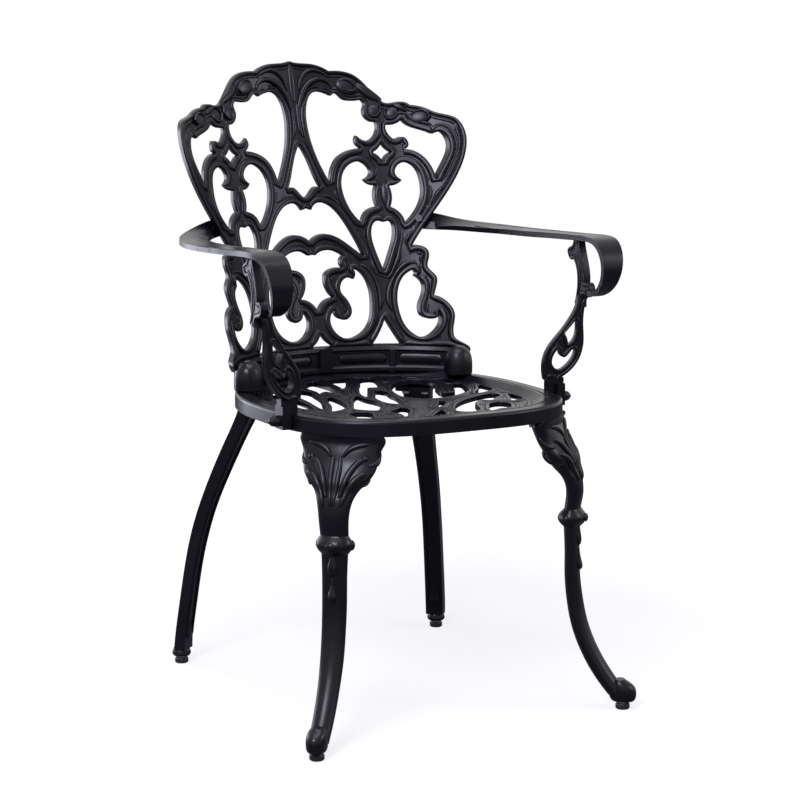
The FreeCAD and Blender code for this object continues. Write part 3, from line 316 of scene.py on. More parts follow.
class Painter:
    """Builds each finish once as a node material and gives it to pieces."""

    def __init__(self, skin: Skin) -> None:
        """Start with no materials made.

        Args:
            skin: The patterns that all finishes share.
        """
        self.skin = skin
        self._made: Dict[Metal, bpy.types.Material] = {}

    def paint(self, obj: bpy.types.Object, metal: Metal) -> None:
        """Give an object one finish all over, made on its first use.

        Args:
            obj: A mesh object.
            metal: The finish.
        """
        if metal not in self._made:
            self._made[metal] = self._build(metal.value, FINISHES[metal])
        obj.data.materials.clear()
        obj.data.materials.append(self._made[metal])

    def _build(self, name: str, finish: Finish) -> bpy.types.Material:
        """Build one finish: a colour that drifts in patches, an uneven sheen and a fine grain.

        Args:
            name: The material's name.
            finish: How it looks.

        Returns:
            The material.
        """
        material = bpy.data.materials.new(name)
        tree = empty_tree(material)
        skin = self.skin
        where = add_node(tree, "ShaderNodeTexCoord", {}).outputs["Object"]
        noises = []
        for size_mm, (detail, rough) in (
            (skin.patch_mm, skin.patch_detail), (finish.grain_mm, skin.grain_detail)
        ):
            values = {"Vector": where, "Scale": 1.0 / (size_mm * MM), "Detail": detail, "Roughness": rough}
            noises.append(add_node(tree, "ShaderNodeTexNoise", values))
        patches, grain = noises
        values = {"Fac": patches, "Color1": linear(finish.colour), "Color2": linear(finish.second)}
        colour = add_node(tree, "ShaderNodeMixRGB", values)
        values = {"Value": patches, "From Min": skin.smoothest, "From Max": skin.roughest}
        values["To Min"] = finish.roughness - finish.spread
        values["To Max"] = finish.roughness + finish.spread
        sheen = add_node(tree, "ShaderNodeMapRange", values)
        values = {"Height": grain, "Strength": skin.relief, "Distance": finish.bump_mm * MM}
        bump = add_node(tree, "ShaderNodeBump", values)
        values = {"Base Color": colour, "Roughness": sheen, "Normal": bump}
        values["Metallic"] = finish.metallic
        values["Specular IOR Level"] = finish.gloss
        shader = add_node(tree, "ShaderNodeBsdfPrincipled", values)
        add_node(tree, "ShaderNodeOutputMaterial", {"Surface": shader})
        return material


class Studio:
    """The camera, the white floor, the world and the lamps."""

    def __init__(self, eye: Eye, lighting: Lighting) -> None:
        """Remember how the studio is laid out.

        Args:
            eye: The camera.
            lighting: The lamps, the world and the floor.
        """
        self.eye = eye
        self.lighting = lighting

    def set_up(self) -> None:
        """Make everything round the chair."""
        self._camera()
        self._world()
        self._floor()
        for lamp in self.lighting.lamps:
            self._hang(lamp)
        bpy.context.scene.view_settings.view_transform = "Standard"

    def _camera(self) -> None:
        """Stand the camera where the photograph was taken from."""
        data = bpy.data.cameras.new("camera")
        data.lens = self.eye.lens
        data.sensor_width = self.eye.sensor
        data.clip_start = self.eye.near
        data.clip_end = self.eye.far
        camera = bpy.data.objects.new("camera", data)
        a = math.radians(self.eye.azimuth)
        e = math.radians(self.eye.elevation)
        back = Vector((math.sin(a) * math.cos(e), -math.cos(a) * math.cos(e), math.sin(e)))
        self._place(camera, self.eye.place, -back)
        bpy.context.scene.camera = camera

    @staticmethod
    def _place(thing: bpy.types.Object, place: Point3, look: Vector) -> None:
        """Put a camera or a lamp into the scene.

        Args:
            thing: The camera or lamp.
            place: Where it stands.
            look: The direction it looks in.
        """
        thing.location = place
        thing.rotation_mode = "QUATERNION"
        thing.rotation_quaternion = look.to_track_quat("-Z", "Y")
        bpy.context.scene.collection.objects.link(thing)

    def _world(self) -> None:
        """Light the chair softly from all round, in front of a white that is seen and mirrored."""
        light = self.lighting
        world = bpy.data.worlds.new("studio")
        bpy.context.scene.world = world
        tree = empty_tree(world)
        values = {"Color": linear(light.sky), "Strength": light.sky_strength}
        soft = add_node(tree, "ShaderNodeBackground", values)
        white = add_node(tree, "ShaderNodeBackground", {"Color": linear(light.white), "Strength": 1.0})
        rays = add_node(tree, "ShaderNodeLightPath", {}).outputs
        shown = rays["Is Camera Ray"]
        for kind in ("Is Glossy Ray", "Is Transmission Ray"):
            shown = add_node(tree, "ShaderNodeMath", {0: shown, 1: rays[kind]}, operation="MAXIMUM")
        seen = add_node(tree, "ShaderNodeMixShader", {"Fac": shown, 1: soft, 2: white})
        add_node(tree, "ShaderNodeOutputWorld", {"Surface": seen})

    def _floor(self) -> None:
        """Lay a white floor that keeps the chair's shadow."""
        light = self.lighting
        bpy.ops.mesh.primitive_plane_add(size=light.floor_side, location=(0.0, 0.0, 0.0))
        floor = bpy.context.object
        floor.name = "floor"
        material = bpy.data.materials.new("floor_white")
        tree = empty_tree(material)
        where = add_node(tree, "ShaderNodeTexCoord", {}).outputs["Object"]
        away = add_node(tree, "ShaderNodeVectorMath", {0: where}, operation="LENGTH").outputs["Value"]
        values = {"Value": away, "From Min": light.fade[0], "From Max": light.fade[1]}
        values["To Min"], values["To Max"] = light.glow
        fade = add_node(tree, "ShaderNodeMapRange", values)
        glow = add_node(tree, "ShaderNodeEmission", {"Color": linear(light.white), "Strength": fade})
        matt = add_node(tree, "ShaderNodeBsdfDiffuse", {"Color": linear(light.floor)})
        both = add_node(tree, "ShaderNodeAddShader", {0: matt, 1: glow})
        camera = add_node(tree, "ShaderNodeLightPath", {}).outputs["Is Camera Ray"]
        seen = add_node(tree, "ShaderNodeMixShader", {"Fac": camera, 1: matt, 2: both})
        add_node(tree, "ShaderNodeOutputMaterial", {"Surface": seen})
        floor.data.materials.append(material)

    def _hang(self, lamp: Lamp) -> None:
        """Hang one soft box.

        Args:
            lamp: Its place, size and power.
        """
        data = bpy.data.lights.new(lamp.name, "AREA")
        data.shape = "SQUARE"
        data.size = lamp.size
        data.energy = lamp.power
        data.color = linear(self.lighting.lamp_colour)[:3]
        look = Vector(self.lighting.aim) - Vector(lamp.place)
        self._place(bpy.data.objects.new(lamp.name, data), lamp.place, look)


class Surface:
    """A face of a casting that relief is raised on, with flat coordinates of its own."""

    def flatten(self, points: np.ndarray) -> Tuple[np.ndarray, np.ndarray]:
        """Turn places in the frame into flat coordinates.

        Args:
            points: Places, one to a row.

        Returns:
            Flat coordinates, one pair to a row, and how far each place lies off the face.
        """
        raise NotImplementedError

    def at(self, flat: np.ndarray) -> Tuple[np.ndarray, np.ndarray]:
        """Turn flat coordinates into places in the frame.

        Args:
            flat: Flat coordinates, one pair to a row.

        Returns:
            The places and the directions out of the face there, one to a row.
        """
        raise NotImplementedError

    def seen(self, across_mm: float, up_mm: float) -> Point2:
        """Turn a place drawn in millimetres into flat coordinates."""
        return (across_mm * MM, up_mm * MM)


class BackFace(Surface):
    """The back's front face, a cone, rolled out flat without stretching."""

    def __init__(self, layout: Layout) -> None:
        """Work out the cone.

        Args:
            layout: Shared places.
        """
        self.layout = layout
        self.cosine = 1.0 / math.hypot(1.0, layout.back_lean)
        self.sine = layout.back_lean * self.cosine

    def radius(self, z: np.ndarray) -> np.ndarray:
        """Return the cone's radius at each height."""
        return self.layout.back_radius + self.layout.back_lean * (z - self.layout.seat_top)

    def _rolled(self, radius: np.ndarray, angle: np.ndarray) -> np.ndarray:
        """Return flat coordinates for radii and angles round the axis."""
        slant = radius / self.sine
        turn = angle * self.sine
        return np.column_stack((slant * np.sin(turn), slant * np.cos(turn)))

    def flatten(self, points: np.ndarray) -> Tuple[np.ndarray, np.ndarray]:
        """See Surface."""
        x = points[:, 0]
        y = points[:, 1] - self.layout.axis_y
        radius = self.radius(points[:, 2])
        return self._rolled(radius, np.arctan2(x, y)), np.hypot(x, y) - radius

    def at(self, flat: np.ndarray) -> Tuple[np.ndarray, np.ndarray]:
        """See Surface."""
        radius = np.hypot(flat[:, 0], flat[:, 1]) * self.sine
        angle = np.arctan2(flat[:, 0], flat[:, 1]) / self.sine
        s, c = np.sin(angle), np.cos(angle)
        z = self.layout.seat_top + (radius - self.layout.back_radius) / self.layout.back_lean
        place = np.column_stack((radius * s, self.layout.axis_y + radius * c, z))
        out = np.column_stack((-self.cosine * s, -self.cosine * c, np.full_like(s, self.sine)))
        return place, out

    def seen(self, across_mm: float, up_mm: float) -> Point2:
        """Turn a place seen from straight in front into flat coordinates.

        Args:
            across_mm: Distance to the viewer's right of the middle.
            up_mm: Height above the floor.

        Returns:
            Its flat coordinates.
        """
        radius = float(self.radius(np.array([up_mm * MM]))[0])
        flat = self._rolled(np.array([radius]), np.array([math.asin(across_mm * MM / radius)]))
        return (float(flat[0, 0]), float(flat[0, 1]))


class RailFace(Surface):
    """The front of the back's rail, an upright cylinder."""

    def __init__(self, layout: Layout, recess: float) -> None:
        """Work out the cylinder.

        Args:
            layout: Shared places.
            recess: How far behind the rail's front the face lies.
        """
        self.middle = layout.axis_y
        self.radius = layout.back_radius + recess

    def at(self, flat: np.ndarray) -> Tuple[np.ndarray, np.ndarray]:
        """See Surface. Flat coordinates are the length round from the middle and the height."""
        angle = flat[:, 0] / self.radius
        s, c = np.sin(angle), np.cos(angle)
        place = np.column_stack((self.radius * s, self.middle + self.radius * c, flat[:, 1]))
        return place, np.column_stack((-s, -c, np.zeros_like(s)))


class FlatFace(Surface):
    """A flat face of a casting."""

    def __init__(self, origin: Sequence[float], right: Sequence[float], up: Sequence[float]) -> None:
        """Lay out the face.

        Args:
            origin: A place on it.
            right: Its first direction.
            up: Its second direction; right x up points out of the casting.
        """
        self.origin, across, upwards = (np.array(v, dtype=float) for v in (origin, right, up))
        self.right = across / np.linalg.norm(across)
        self.up = upwards / np.linalg.norm(upwards)
        self.out = np.cross(self.right, self.up)

    def flatten(self, points: np.ndarray) -> Tuple[np.ndarray, np.ndarray]:
        """See Surface."""
        away = points - self.origin
        return np.column_stack((away @ self.right, away @ self.up)), away @ self.out

    def at(self, flat: np.ndarray) -> Tuple[np.ndarray, np.ndarray]:
        """See Surface."""
        place = self.origin + flat[:, :1] * self.right + flat[:, 1:] * self.up
        return place, np.repeat(self.out[None, :], len(flat), axis=0)


class CastFace(Surface):
    """A rounded face of a casting, found by looking at the casting along one direction."""

    def __init__(
        self, node: bpy.types.Object, origin: Sequence[float], right: Sequence[float], up: Sequence[float]
    ) -> None:
        """Remember where to look from.

        Args:
            node: The CAD node.
            origin: A place outside the casting.
            right: The first flat direction.
            up: The second flat direction; the look goes against right x up.
        """
        self.plane = FlatFace(origin, right, up)
        verts = [v.co.copy() for v in node.data.vertices]
        polygons = [tuple(p.vertices) for p in node.data.polygons]
        self.tree = BVHTree.FromPolygons(verts, polygons)

    def at(self, flat: np.ndarray) -> Tuple[np.ndarray, np.ndarray]:
        """See Surface."""
        start, out = self.plane.at(flat)
        places, outs = [], []
        last: Optional[Tuple[Vector, Vector]] = None
        for eye, way in zip(start, out):
            place, normal, _, _ = self.tree.ray_cast(Vector(eye), Vector(-way))
            if place is None:
                place, normal, _, _ = self.tree.find_nearest(Vector(eye) if last is None else last[0])
            if normal.dot(Vector(way)) < 0.0:
                normal = -normal
            last = (place, normal)
            places.append(place)
            outs.append(normal)
        return np.array(places), np.array(outs)


@dataclass(frozen=True)
class Bead:
    """The section of the round bead that runs along every edge of the fretwork.

    Attributes:
        reach_mm: How far in from the edge it goes on a wide piece.
        height_mm: How high it stands on a wide piece.
        step_mm: Distance between its sections.
        rows: How many beads lie side by side where a piece is wide enough.
        fill: Share of the way to a bar's middle line that its beads take.
        least_mm: Width that a bead keeps where there is no room for it, and how deep it runs there in the
            casting when it is an inner one.
        lip_mm: Width of the bare lip left along each side of a bead.
        full: Share of the reach from which a bead has its full height.
        lowest: Share of the height that a bead keeps where it is narrowest.
        worth: Share of the reach that a second bead needs to be worth raising.
        bare: Share of the reach that a bead loses where a face is kept plain.
        section: Share of the way in from the edge and share of the height, from the edge inwards.
    """

    reach_mm: float = 9.5
    height_mm: float = 2.6
    step_mm: float = 2.0
    rows: int = 2
    fill: float = 0.97
    least_mm: float = 0.3
    lip_mm: float = 0.12
    full: float = 0.7
    lowest: float = 0.25
    worth: float = 0.28
    bare: float = 0.42
    section: Tuple[Point2, ...] = (
        (0.0, -0.3), (0.0, 0.42), (0.1, 0.76), (0.26, 0.98), (0.48, 1.0), (0.7, 0.86), (0.87, 0.52),
        (1.0, 0.06), (1.0, -0.3),
    )


@dataclass(frozen=True)
class Stroke:
    """One raised rib with pointed ends, drawn on a face.

    Attributes:
        path: The points it runs through, in millimetres across and up the face.
        width_mm: Its width where it is widest.
        height_mm: Its height there.
        blunt: Share of the width that is left at its ends.
        peak: Share of the way at which it is widest.
    """

    path: Tuple[Point2, ...]
    width_mm: float
    height_mm: float
    blunt: float = 0.25
    peak: float = 0.5


class Relief:
    """Raises beads and ribs on one face of one casting and makes them one piece.

    The shapes follow the casting's own edges, so the mesh is worked out from the CAD node.

    Attributes:
        WELD: Corners of the casting nearer than this are one.
        FLUSH: How near a face a triangle lies to belong to it.
        SLIVER: Twice the area below which a triangle is left out.
        CORNERS: Fewest corners of an edge that gets a bead.
        AHEAD: How far in front of an edge another place has to lie to face it.
        APART: Square of the least distance between them.
        OPEN: Room in front of an edge that nothing faces.
        GROWTH: How much wider a bead may become where its run is eased.
        INNER: How many more times an inner bead is eased.
        STEP_MM: Distance between the sections of a rib.
        SINK_MM: How deep the foot of a rib lies in the casting.
        ROUND: Places across a rib, as shares of half its width.
        FULLNESS: Power that a rib's swelling is raised to; a smaller one makes fuller ends.
        CUSHION: Places across a cushion as shares of half its width, and shares of its height there.
        CORNER: Sections in each of its rounded ends.
        STRAIGHT: Sections between them.
        TIP: Angle round the end, in radians, at which its first section lies.
    """

    WELD: ClassVar[float] = 2e-6
    FLUSH: ClassVar[float] = 2.5e-5
    SLIVER: ClassVar[float] = 1e-12
    CORNERS: ClassVar[int] = 8
    AHEAD: ClassVar[float] = 1e-7
    APART: ClassVar[float] = 1e-10
    OPEN: ClassVar[float] = 1.0
    GROWTH: ClassVar[float] = 1.08
    INNER: ClassVar[int] = 3
    STEP_MM: ClassVar[float] = 1.6
    SINK_MM: ClassVar[float] = 0.3
    ROUND: ClassVar[Tuple[float, ...]] = (-1.0, -0.86, -0.5, 0.0, 0.5, 0.86, 1.0)
    FULLNESS: ClassVar[float] = 0.6
    CUSHION: ClassVar[Tuple[Point2, ...]] = (
        (-1.0, -0.3), (-0.98, 0.6), (-0.86, 1.0), (0.0, 1.1), (0.86, 1.0), (0.98, 0.6), (1.0, -0.3),
    )
    CORNER: ClassVar[int] = 7
    STRAIGHT: ClassVar[int] = 22
    TIP: ClassVar[float] = 0.12

    def __init__(self, surface: Surface) -> None:
        """Start with nothing raised.

        Args:
            surface: The face.
        """
        self.surface = surface
        self.places: List[np.ndarray] = []
        self.quads: List[Tuple[int, ...]] = []
        self.count = 0

    def _tube(self, flats: np.ndarray, heights: np.ndarray, closed: bool) -> None:
        """Add a tube whose section changes along its way.

        Args:
            flats: Flat coordinates, sections by points by two.
            heights: Heights above the face, sections by points.
            closed: Whether the last section meets the first.
        """
        sections, around = heights.shape
        place, out = self.surface.at(flats.reshape(-1, 2))
        self.places.append(place + out * heights.reshape(-1, 1))
        base = self.count
        self.count += sections * around
        for i in range(sections if closed else sections - 1):
            here = base + i * around
            there = base + (i + 1) % sections * around
            for k in range(around):
                m = (k + 1) % around
                self.quads.append((here + k, there + k, there + m, here + m))
        if not closed:
            last = base + (sections - 1) * around
            self.quads.append(tuple(base + k for k in range(around)))
            self.quads.append(tuple(last + k for k in reversed(range(around))))

    def _edges(self, node: bpy.types.Object) -> List[np.ndarray]:
        """Find the closed edges of the part of a CAD node that lies on the face.

        Args:
            node: The CAD node.

        Returns:
            Each edge as flat coordinates, with the metal on its left.
        """
        mesh = node.data
        co = np.empty(len(mesh.vertices) * 3)
        mesh.vertices.foreach_get("co", co)
        mesh.calc_loop_triangles()
        tri = np.empty(len(mesh.loop_triangles) * 3, dtype=np.int64)
        mesh.loop_triangles.foreach_get("vertices", tri)
        co = co.reshape(-1, 3)
        cells = np.round(co / self.WELD).astype(np.int64)
        _, first, welded = np.unique(cells, axis=0, return_index=True, return_inverse=True)
        co = co[first]
        tri = welded.reshape(-1)[tri].reshape(-1, 3)
        flat, off = self.surface.flatten(co)
        tri = tri[(np.abs(off[tri]) < self.FLUSH).all(axis=1)]
        a, b, c = flat[tri[:, 0]], flat[tri[:, 1]], flat[tri[:, 2]]
        area = (b[:, 0] - a[:, 0]) * (c[:, 1] - a[:, 1]) - (b[:, 1] - a[:, 1]) * (c[:, 0] - a[:, 0])
        tri = tri[np.abs(area) > self.SLIVER]
        area = area[np.abs(area) > self.SLIVER]
        if area.sum() < 0.0:
            tri = tri[:, ::-1]
            area = -area
        tri = tri[area > 0.0]
        ways = {(int(p), int(q)) for t in tri for p, q in ((t[0], t[1]), (t[1], t[2]), (t[2], t[0]))}
        after: Dict[int, List[int]] = {}
        for p, q in ways:
            if (q, p) not in ways:
                after.setdefault(p, []).append(q)
        loops = []
        while after:
            start = next(iter(after))
            here, loop = start, []
            while here in after:
                loop.append(here)
                onward = after[here]
                there = onward.pop()
                if not onward:
                    del after[here]
                here = there
                if here == start:
                    break
            if len(loop) >= self.CORNERS:
                loops.append(flat[loop])
        return loops

    def _soft(self, width: np.ndarray, row: int) -> np.ndarray:
        """Ease the jumps in a run of widths or heights round a closed edge, by weights of 1, 2, 3, 2 and 1.

        Args:
            width: The run.
            row: The bead's row; an inner row is eased more.

        Returns:
            The run, nowhere much greater than it was.
        """
        for _ in range(1 + self.INNER * row):
            near = 2 * np.roll(width, 1) + 2 * np.roll(width, -1)
            eased = 3 * width + near + np.roll(width, 2) + np.roll(width, -2)
            width = np.minimum(eased / 9, self.GROWTH * width)
        return width

    def beads(
        self,
        node: bpy.types.Object,
        bead: Bead,
        least_mm: float = 30.0,
        plain: Optional[Callable[[np.ndarray], np.ndarray]] = None,
    ) -> None:
        """Run a round bead along every edge of a CAD node on this face.

        Each bead reaches in to the middle line of a narrow bar, so two of them leave a fine groove.

        Args:
            node: The CAD node.
            bead: The bead's section.
            least_mm: Edges shorter than this get none.
            plain: Tells for places in the frame how far (0 to 1) the face there is kept plain, with one
                narrow bead.
        """
        step = bead.step_mm * MM
        loops = [even(np.vstack((loop, loop[:1])), step, closed=True) for loop in self._edges(node)]
        loops = [loop for loop in loops if len(loop) * bead.step_mm >= least_mm]
        if not loops:
            LOG.warning("no edges found on %s", node.name)
            return
        every = np.vstack(loops)
        share, rise = np.array(bead.section).T
        for loop in loops:
            inside = left_of(np.roll(loop, -1, axis=0) - np.roll(loop, 1, axis=0))
            room = np.empty(len(loop))
            for i, (p, n) in enumerate(zip(loop, inside)):
                away = every - p
                ahead = away @ n
                far = (away * away).sum(axis=1)
                good = (ahead > self.AHEAD) & (far > self.APART)
                room[i] = (far[good] / (2.0 * ahead[good])).min() if good.any() else self.OPEN
            bare = np.zeros(len(loop)) if plain is None else plain(self.surface.at(loop)[0])
            reach = bead.reach_mm * MM * (1.0 - bead.bare * bare)
            least, lip = bead.least_mm * MM, bead.lip_mm * MM
            for row in range(bead.rows):
                width = self._soft(np.clip(bead.fill * room - row * reach, least, reach), row)
                tall = bead.height_mm * MM * np.clip(width / (bead.full * reach), bead.lowest, 1.0)
                if row:
                    tall = np.where((width > bead.worth * reach) & (bare < 0.5), tall, -least)
                inset = row * reach[:, None] + lip + share[None, :] * (width[:, None] - 2.0 * lip)
                flats = loop[:, None, :] + inside[:, None, :] * inset[:, :, None]
                self._tube(flats, self._soft(tall, row)[:, None] * rise[None, :], True)

    def stroke(self, stroke: Stroke, side: float = 1.0) -> None:
        """Raise one rib.

        Args:
            stroke: The rib.
            side: 1 as drawn, -1 mirrored.
        """
        path = np.array([self.surface.seen(side * across, up) for across, up in stroke.path])
        path = smooth_path(path, self.STEP_MM * MM)
        run = np.linspace(0.0, 1.0, len(path))
        warp = math.log(0.5) / math.log(stroke.peak)
        fade = stroke.blunt + (1.0 - stroke.blunt) * np.sin(math.pi * run**warp) ** self.FULLNESS
        left = left_of(np.gradient(path, axis=0))
        across = np.array(self.ROUND)
        dome = np.sqrt(1.0 - across**2)
        reach = across[None, :] * 0.5 * stroke.width_mm * MM * fade[:, None]
        flats = path[:, None, :] + left[:, None, :] * reach[:, :, None]
        heights = stroke.height_mm * MM * fade[:, None] * dome[None, :] - self.SINK_MM * MM
        self._tube(flats, heights, False)

    def pillow(self, start: Point2, end: Point2, width_mm: float, height_mm: float) -> None:
        """Raise one flat-topped bar with half-round ends.

        Args:
            start: One end, in flat coordinates.
            end: The other end.
            width_mm: Its width.
            height_mm: Its height.
        """
        half = 0.5 * width_mm * MM
        a, b = np.array(start), np.array(end)
        length = float(np.linalg.norm(b - a))
        way = (b - a) / length
        side = np.array((-way[1], way[0]))
        ends = half * (1.0 - np.cos(np.linspace(self.TIP, 0.5 * math.pi, self.CORNER)))
        middle = np.linspace(half, length - half, self.STRAIGHT + 2)[1:-1]
        along = np.concatenate((ends, middle, length - ends[::-1]))
        depth = np.minimum(np.minimum(along, length - along), half)
        wide = np.sqrt(half**2 - (half - depth) ** 2)
        across, rise = np.array(self.CUSHION).T
        flats = a + way * along[:, None, None] + side * (across[None, :] * wide[:, None])[:, :, None]
        self._tube(flats, height_mm * MM * np.repeat(rise[None, :], len(along), axis=0), False)

    def piece(self, name: str) -> bpy.types.Object:
        """Make everything raised so far one object.

        Args:
            name: Its name.

        Returns:
            The object, smooth and with its faces outwards.
        """
        mesh = bpy.data.meshes.new(name)
        mesh.from_pydata(np.vstack(self.places).tolist(), [], self.quads)
        mesh.update()
        piece = bpy.data.objects.new(name, mesh)
        bpy.context.scene.collection.objects.link(piece)
        only(piece)
        bpy.ops.object.mode_set(mode="EDIT")
        bpy.ops.mesh.select_all(action="SELECT")
        bpy.ops.mesh.normals_make_consistent(inside=False)
        bpy.ops.object.mode_set(mode="OBJECT")
        bpy.ops.object.shade_smooth()
        return piece


def only(piece: bpy.types.Object) -> None:
    """Select one object and nothing else."""
    bpy.ops.object.select_all(action="DESELECT")
    piece.select_set(True)
    bpy.context.view_layer.objects.active = piece


def left_of(ways: np.ndarray) -> np.ndarray:
    """Return the unit directions to the left of a run of flat directions, one to a row."""
    ways = ways / (np.linalg.norm(ways, axis=1)[:, None] + TINY)
    return np.column_stack((-ways[:, 1], ways[:, 0]))


def even(line: np.ndarray, step: float, closed: bool) -> np.ndarray:
    """Spread places evenly along a line.

    Args:
        line: The line's points, one to a row.
        step: About how far apart the places lie.
        closed: Whether the line ends where it starts; its end then gets no place of its own.

    Returns:
        The places, one to a row.
    """
    run = np.concatenate(([0.0], np.cumsum(np.linalg.norm(np.diff(line, axis=0), axis=1))))
    count = int(round(run[-1] / step))
    count = max(RING_PLACES, count) if closed else max(LINE_PLACES, count + 1)
    at = np.linspace(0.0, run[-1], count, endpoint=not closed)
    return np.column_stack([np.interp(at, run, column) for column in line.T])


def smooth_path(points: np.ndarray, step: float) -> np.ndarray:
    """Run a smooth line through points, and return places along it at even steps.

    Args:
        points: The points, one to a row.
        step: The distance between places.

    Returns:
        The places, one to a row.
    """
    ends = np.vstack((2 * points[0] - points[1], points, 2 * points[-1] - points[-2]))
    fine = []
    for i in range(1, len(ends) - 2):
        p0, p1, p2, p3 = ends[i - 1 : i + 3]
        square = 2 * p0 - 5 * p1 + 4 * p2 - p3
        cube = 3 * p1 - p0 - 3 * p2 + p3
        for t in np.linspace(0.0, 1.0, SPAN_STEPS, endpoint=False):
            fine.append(0.5 * (2 * p1 + (p2 - p0) * t + square * t**2 + cube * t**3))
    fine.append(points[-1])
    return even(np.array(fine), step, closed=False)


@dataclass(frozen=True)
class Boss:
    """One low dome on a face.

    Attributes:
        middle: Its middle, in millimetres across and up the face.
        long_mm: Half its length.
        wide_mm: Half its width.
        height_mm: How high it stands.
        turn: Angle of its length from the first flat direction, in degrees.
    """

    middle: Point2
    long_mm: float
    wide_mm: float
    height_mm: float
    turn: float = 0.0


def raise_bosses(surface: Surface, bosses: Sequence[Boss], name: str) -> bpy.types.Object:
    """Set flattened balls in a face as low domes and join them.

    Args:
        surface: The face.
        bosses: The domes.
        name: The joined piece's name.

    Returns:
        The piece, with its place in its mesh.
    """
    made = []
    for boss in bosses:
        across, up = surface.seen(*boss.middle)
        flat = np.array([(across, up), (across + MM, up)])
        place, out = surface.at(flat)
        normal = Vector(out[0]).normalized()
        right = Vector(place[1] - place[0])
        right = (right - normal * right.dot(normal)).normalized()
        right = Matrix.Rotation(math.radians(boss.turn), 3, normal) @ right
        bpy.ops.object.select_all(action="DESELECT")
        bpy.ops.mesh.primitive_uv_sphere_add(segments=BALL_SEGMENTS, ring_count=BALL_RINGS, radius=1.0)
        ball = bpy.context.object
        turn = Matrix((right, normal.cross(right), normal)).transposed().to_4x4()
        size = Matrix.Diagonal((boss.long_mm * MM, boss.wide_mm * MM, boss.height_mm * MM, 1.0))
        ball.matrix_world = Matrix.Translation(Vector(place[0])) @ turn @ size
        bpy.ops.object.transform_apply(location=True, rotation=True, scale=True)
        bpy.ops.object.shade_smooth()
        made.append(ball)
    only(made[0])
    for ball in made[1:]:
        ball.select_set(True)
    bpy.ops.object.join()
    piece = bpy.context.object
    piece.name = name
    return piece


@dataclass(frozen=True)
class BackRelief:
    """The relief on the back: beads along every bar, the crest's shell ribs and its bosses.

    Attributes:
        bead: The bead along the bars.
        ribs: The crest's ribs on the right half, drawn as seen from in front.
        keel: The rib on the middle line.
        bosses: Domes on the right half, drawn in the same way.
        crest_foot: Height above which the middle of the crest has only one narrow bead along its rim.
        crest_fall: How much lower that is for each metre to the side.
        crest_blend: Height over which it comes in.
    """

    bead: Bead = Bead()
    ribs: Tuple[Stroke, ...] = (
        Stroke(
            ((9.5, 846.0), (13.5, 861.0), (22.0, 871.5), (34.0, 876.5), (47.0, 874.0), (57.5, 868.0)),
            8.0,
            4.8,
        ),
        Stroke(
            (
                (5.5, 812.0), (8.6, 829.0), (15.8, 844.3), (26.2, 856.0), (39.8, 862.3), (52.0, 861.5),
                (60.5, 855.0), (62.5, 847.5),
            ),
            10.0,
            5.6,
        ),
        Stroke(
            ((73.0, 858.0), (81.5, 862.0), (91.0, 858.5), (97.5, 850.0), (93.0, 844.0), (84.0, 847.5)),
            5.6,
            7.2,
        ),
        Stroke(
            (
                (129.5, 829.0), (129.7, 815.2), (122.0, 806.4), (114.0, 809.2), (114.5, 816.5),
                (121.0, 818.0),
            ),
            5.0,
            5.6,
        ),
        Stroke(
            (
                (138.8, 824.0), (134.9, 812.2), (139.5, 803.4), (148.5, 804.9), (152.0, 812.0),
                (146.0, 813.7),
            ),
            5.0,
            5.6,
        ),
        Stroke(((97.0, 857.0), (108.0, 848.0), (120.0, 838.0), (133.0, 830.0)), 15.0, 4.4),
        Stroke(((147.0, 826.0), (156.0, 821.0), (166.0, 815.0)), 10.0, 3.8),
        Stroke(
            (
                (170.5, 805.5), (176.1, 813.2), (186.0, 816.0), (193.5, 809.3), (190.5, 802.0),
                (181.0, 801.0),
            ),
            4.8,
            6.2,
        ),
    )
    keel: Stroke = Stroke(((0.0, 886.0), (0.0, 872.0), (0.0, 852.0), (0.0, 828.0)), 11.0, 3.0, 0.45)
    bosses: Tuple[Boss, ...] = (
        Boss((87.5, 852.5), 19.5, 13.5, 4.0, -18.0),
        Boss((180.5, 805.5), 17.0, 12.0, 3.6, -4.0),
        Boss((120.5, 814.5), 11.0, 10.5, 3.2, 0.0),
        Boss((146.0, 811.0), 11.5, 10.0, 3.2, 0.0),
        Boss((122.0, 690.0), 7.0, 18.0, 2.6, 0.0),
    )
    crest_foot: float = 0.822
    crest_fall: float = 0.13
    crest_blend: float = 0.012

    def crest(self, places: np.ndarray) -> np.ndarray:
        """Tell how far each place is in the crest, where only the rim has a bead."""
        foot = self.crest_foot - self.crest_fall * np.abs(places[:, 0])
        return np.clip((places[:, 2] - foot) / self.crest_blend, 0.0, 1.0)

    def build(self, node: bpy.types.Object, layout: Layout) -> List[bpy.types.Object]:
        """Raise everything on the back.

        Args:
            node: The back's CAD node.
            layout: Shared places.

        Returns:
            The pieces.
        """
        face = BackFace(layout)
        relief = Relief(face)
        relief.beads(node, self.bead, plain=self.crest)
        for side in (1.0, -1.0):
            for rib in self.ribs:
                relief.stroke(rib, side)
        relief.stroke(self.keel)
        domes = list(self.bosses)
        for boss in self.bosses:
            across, up = boss.middle
            domes.append(replace(boss, middle=(-across, up), turn=-boss.turn))
        return [relief.piece("back_relief"), raise_bosses(face, domes, "back_bosses")]


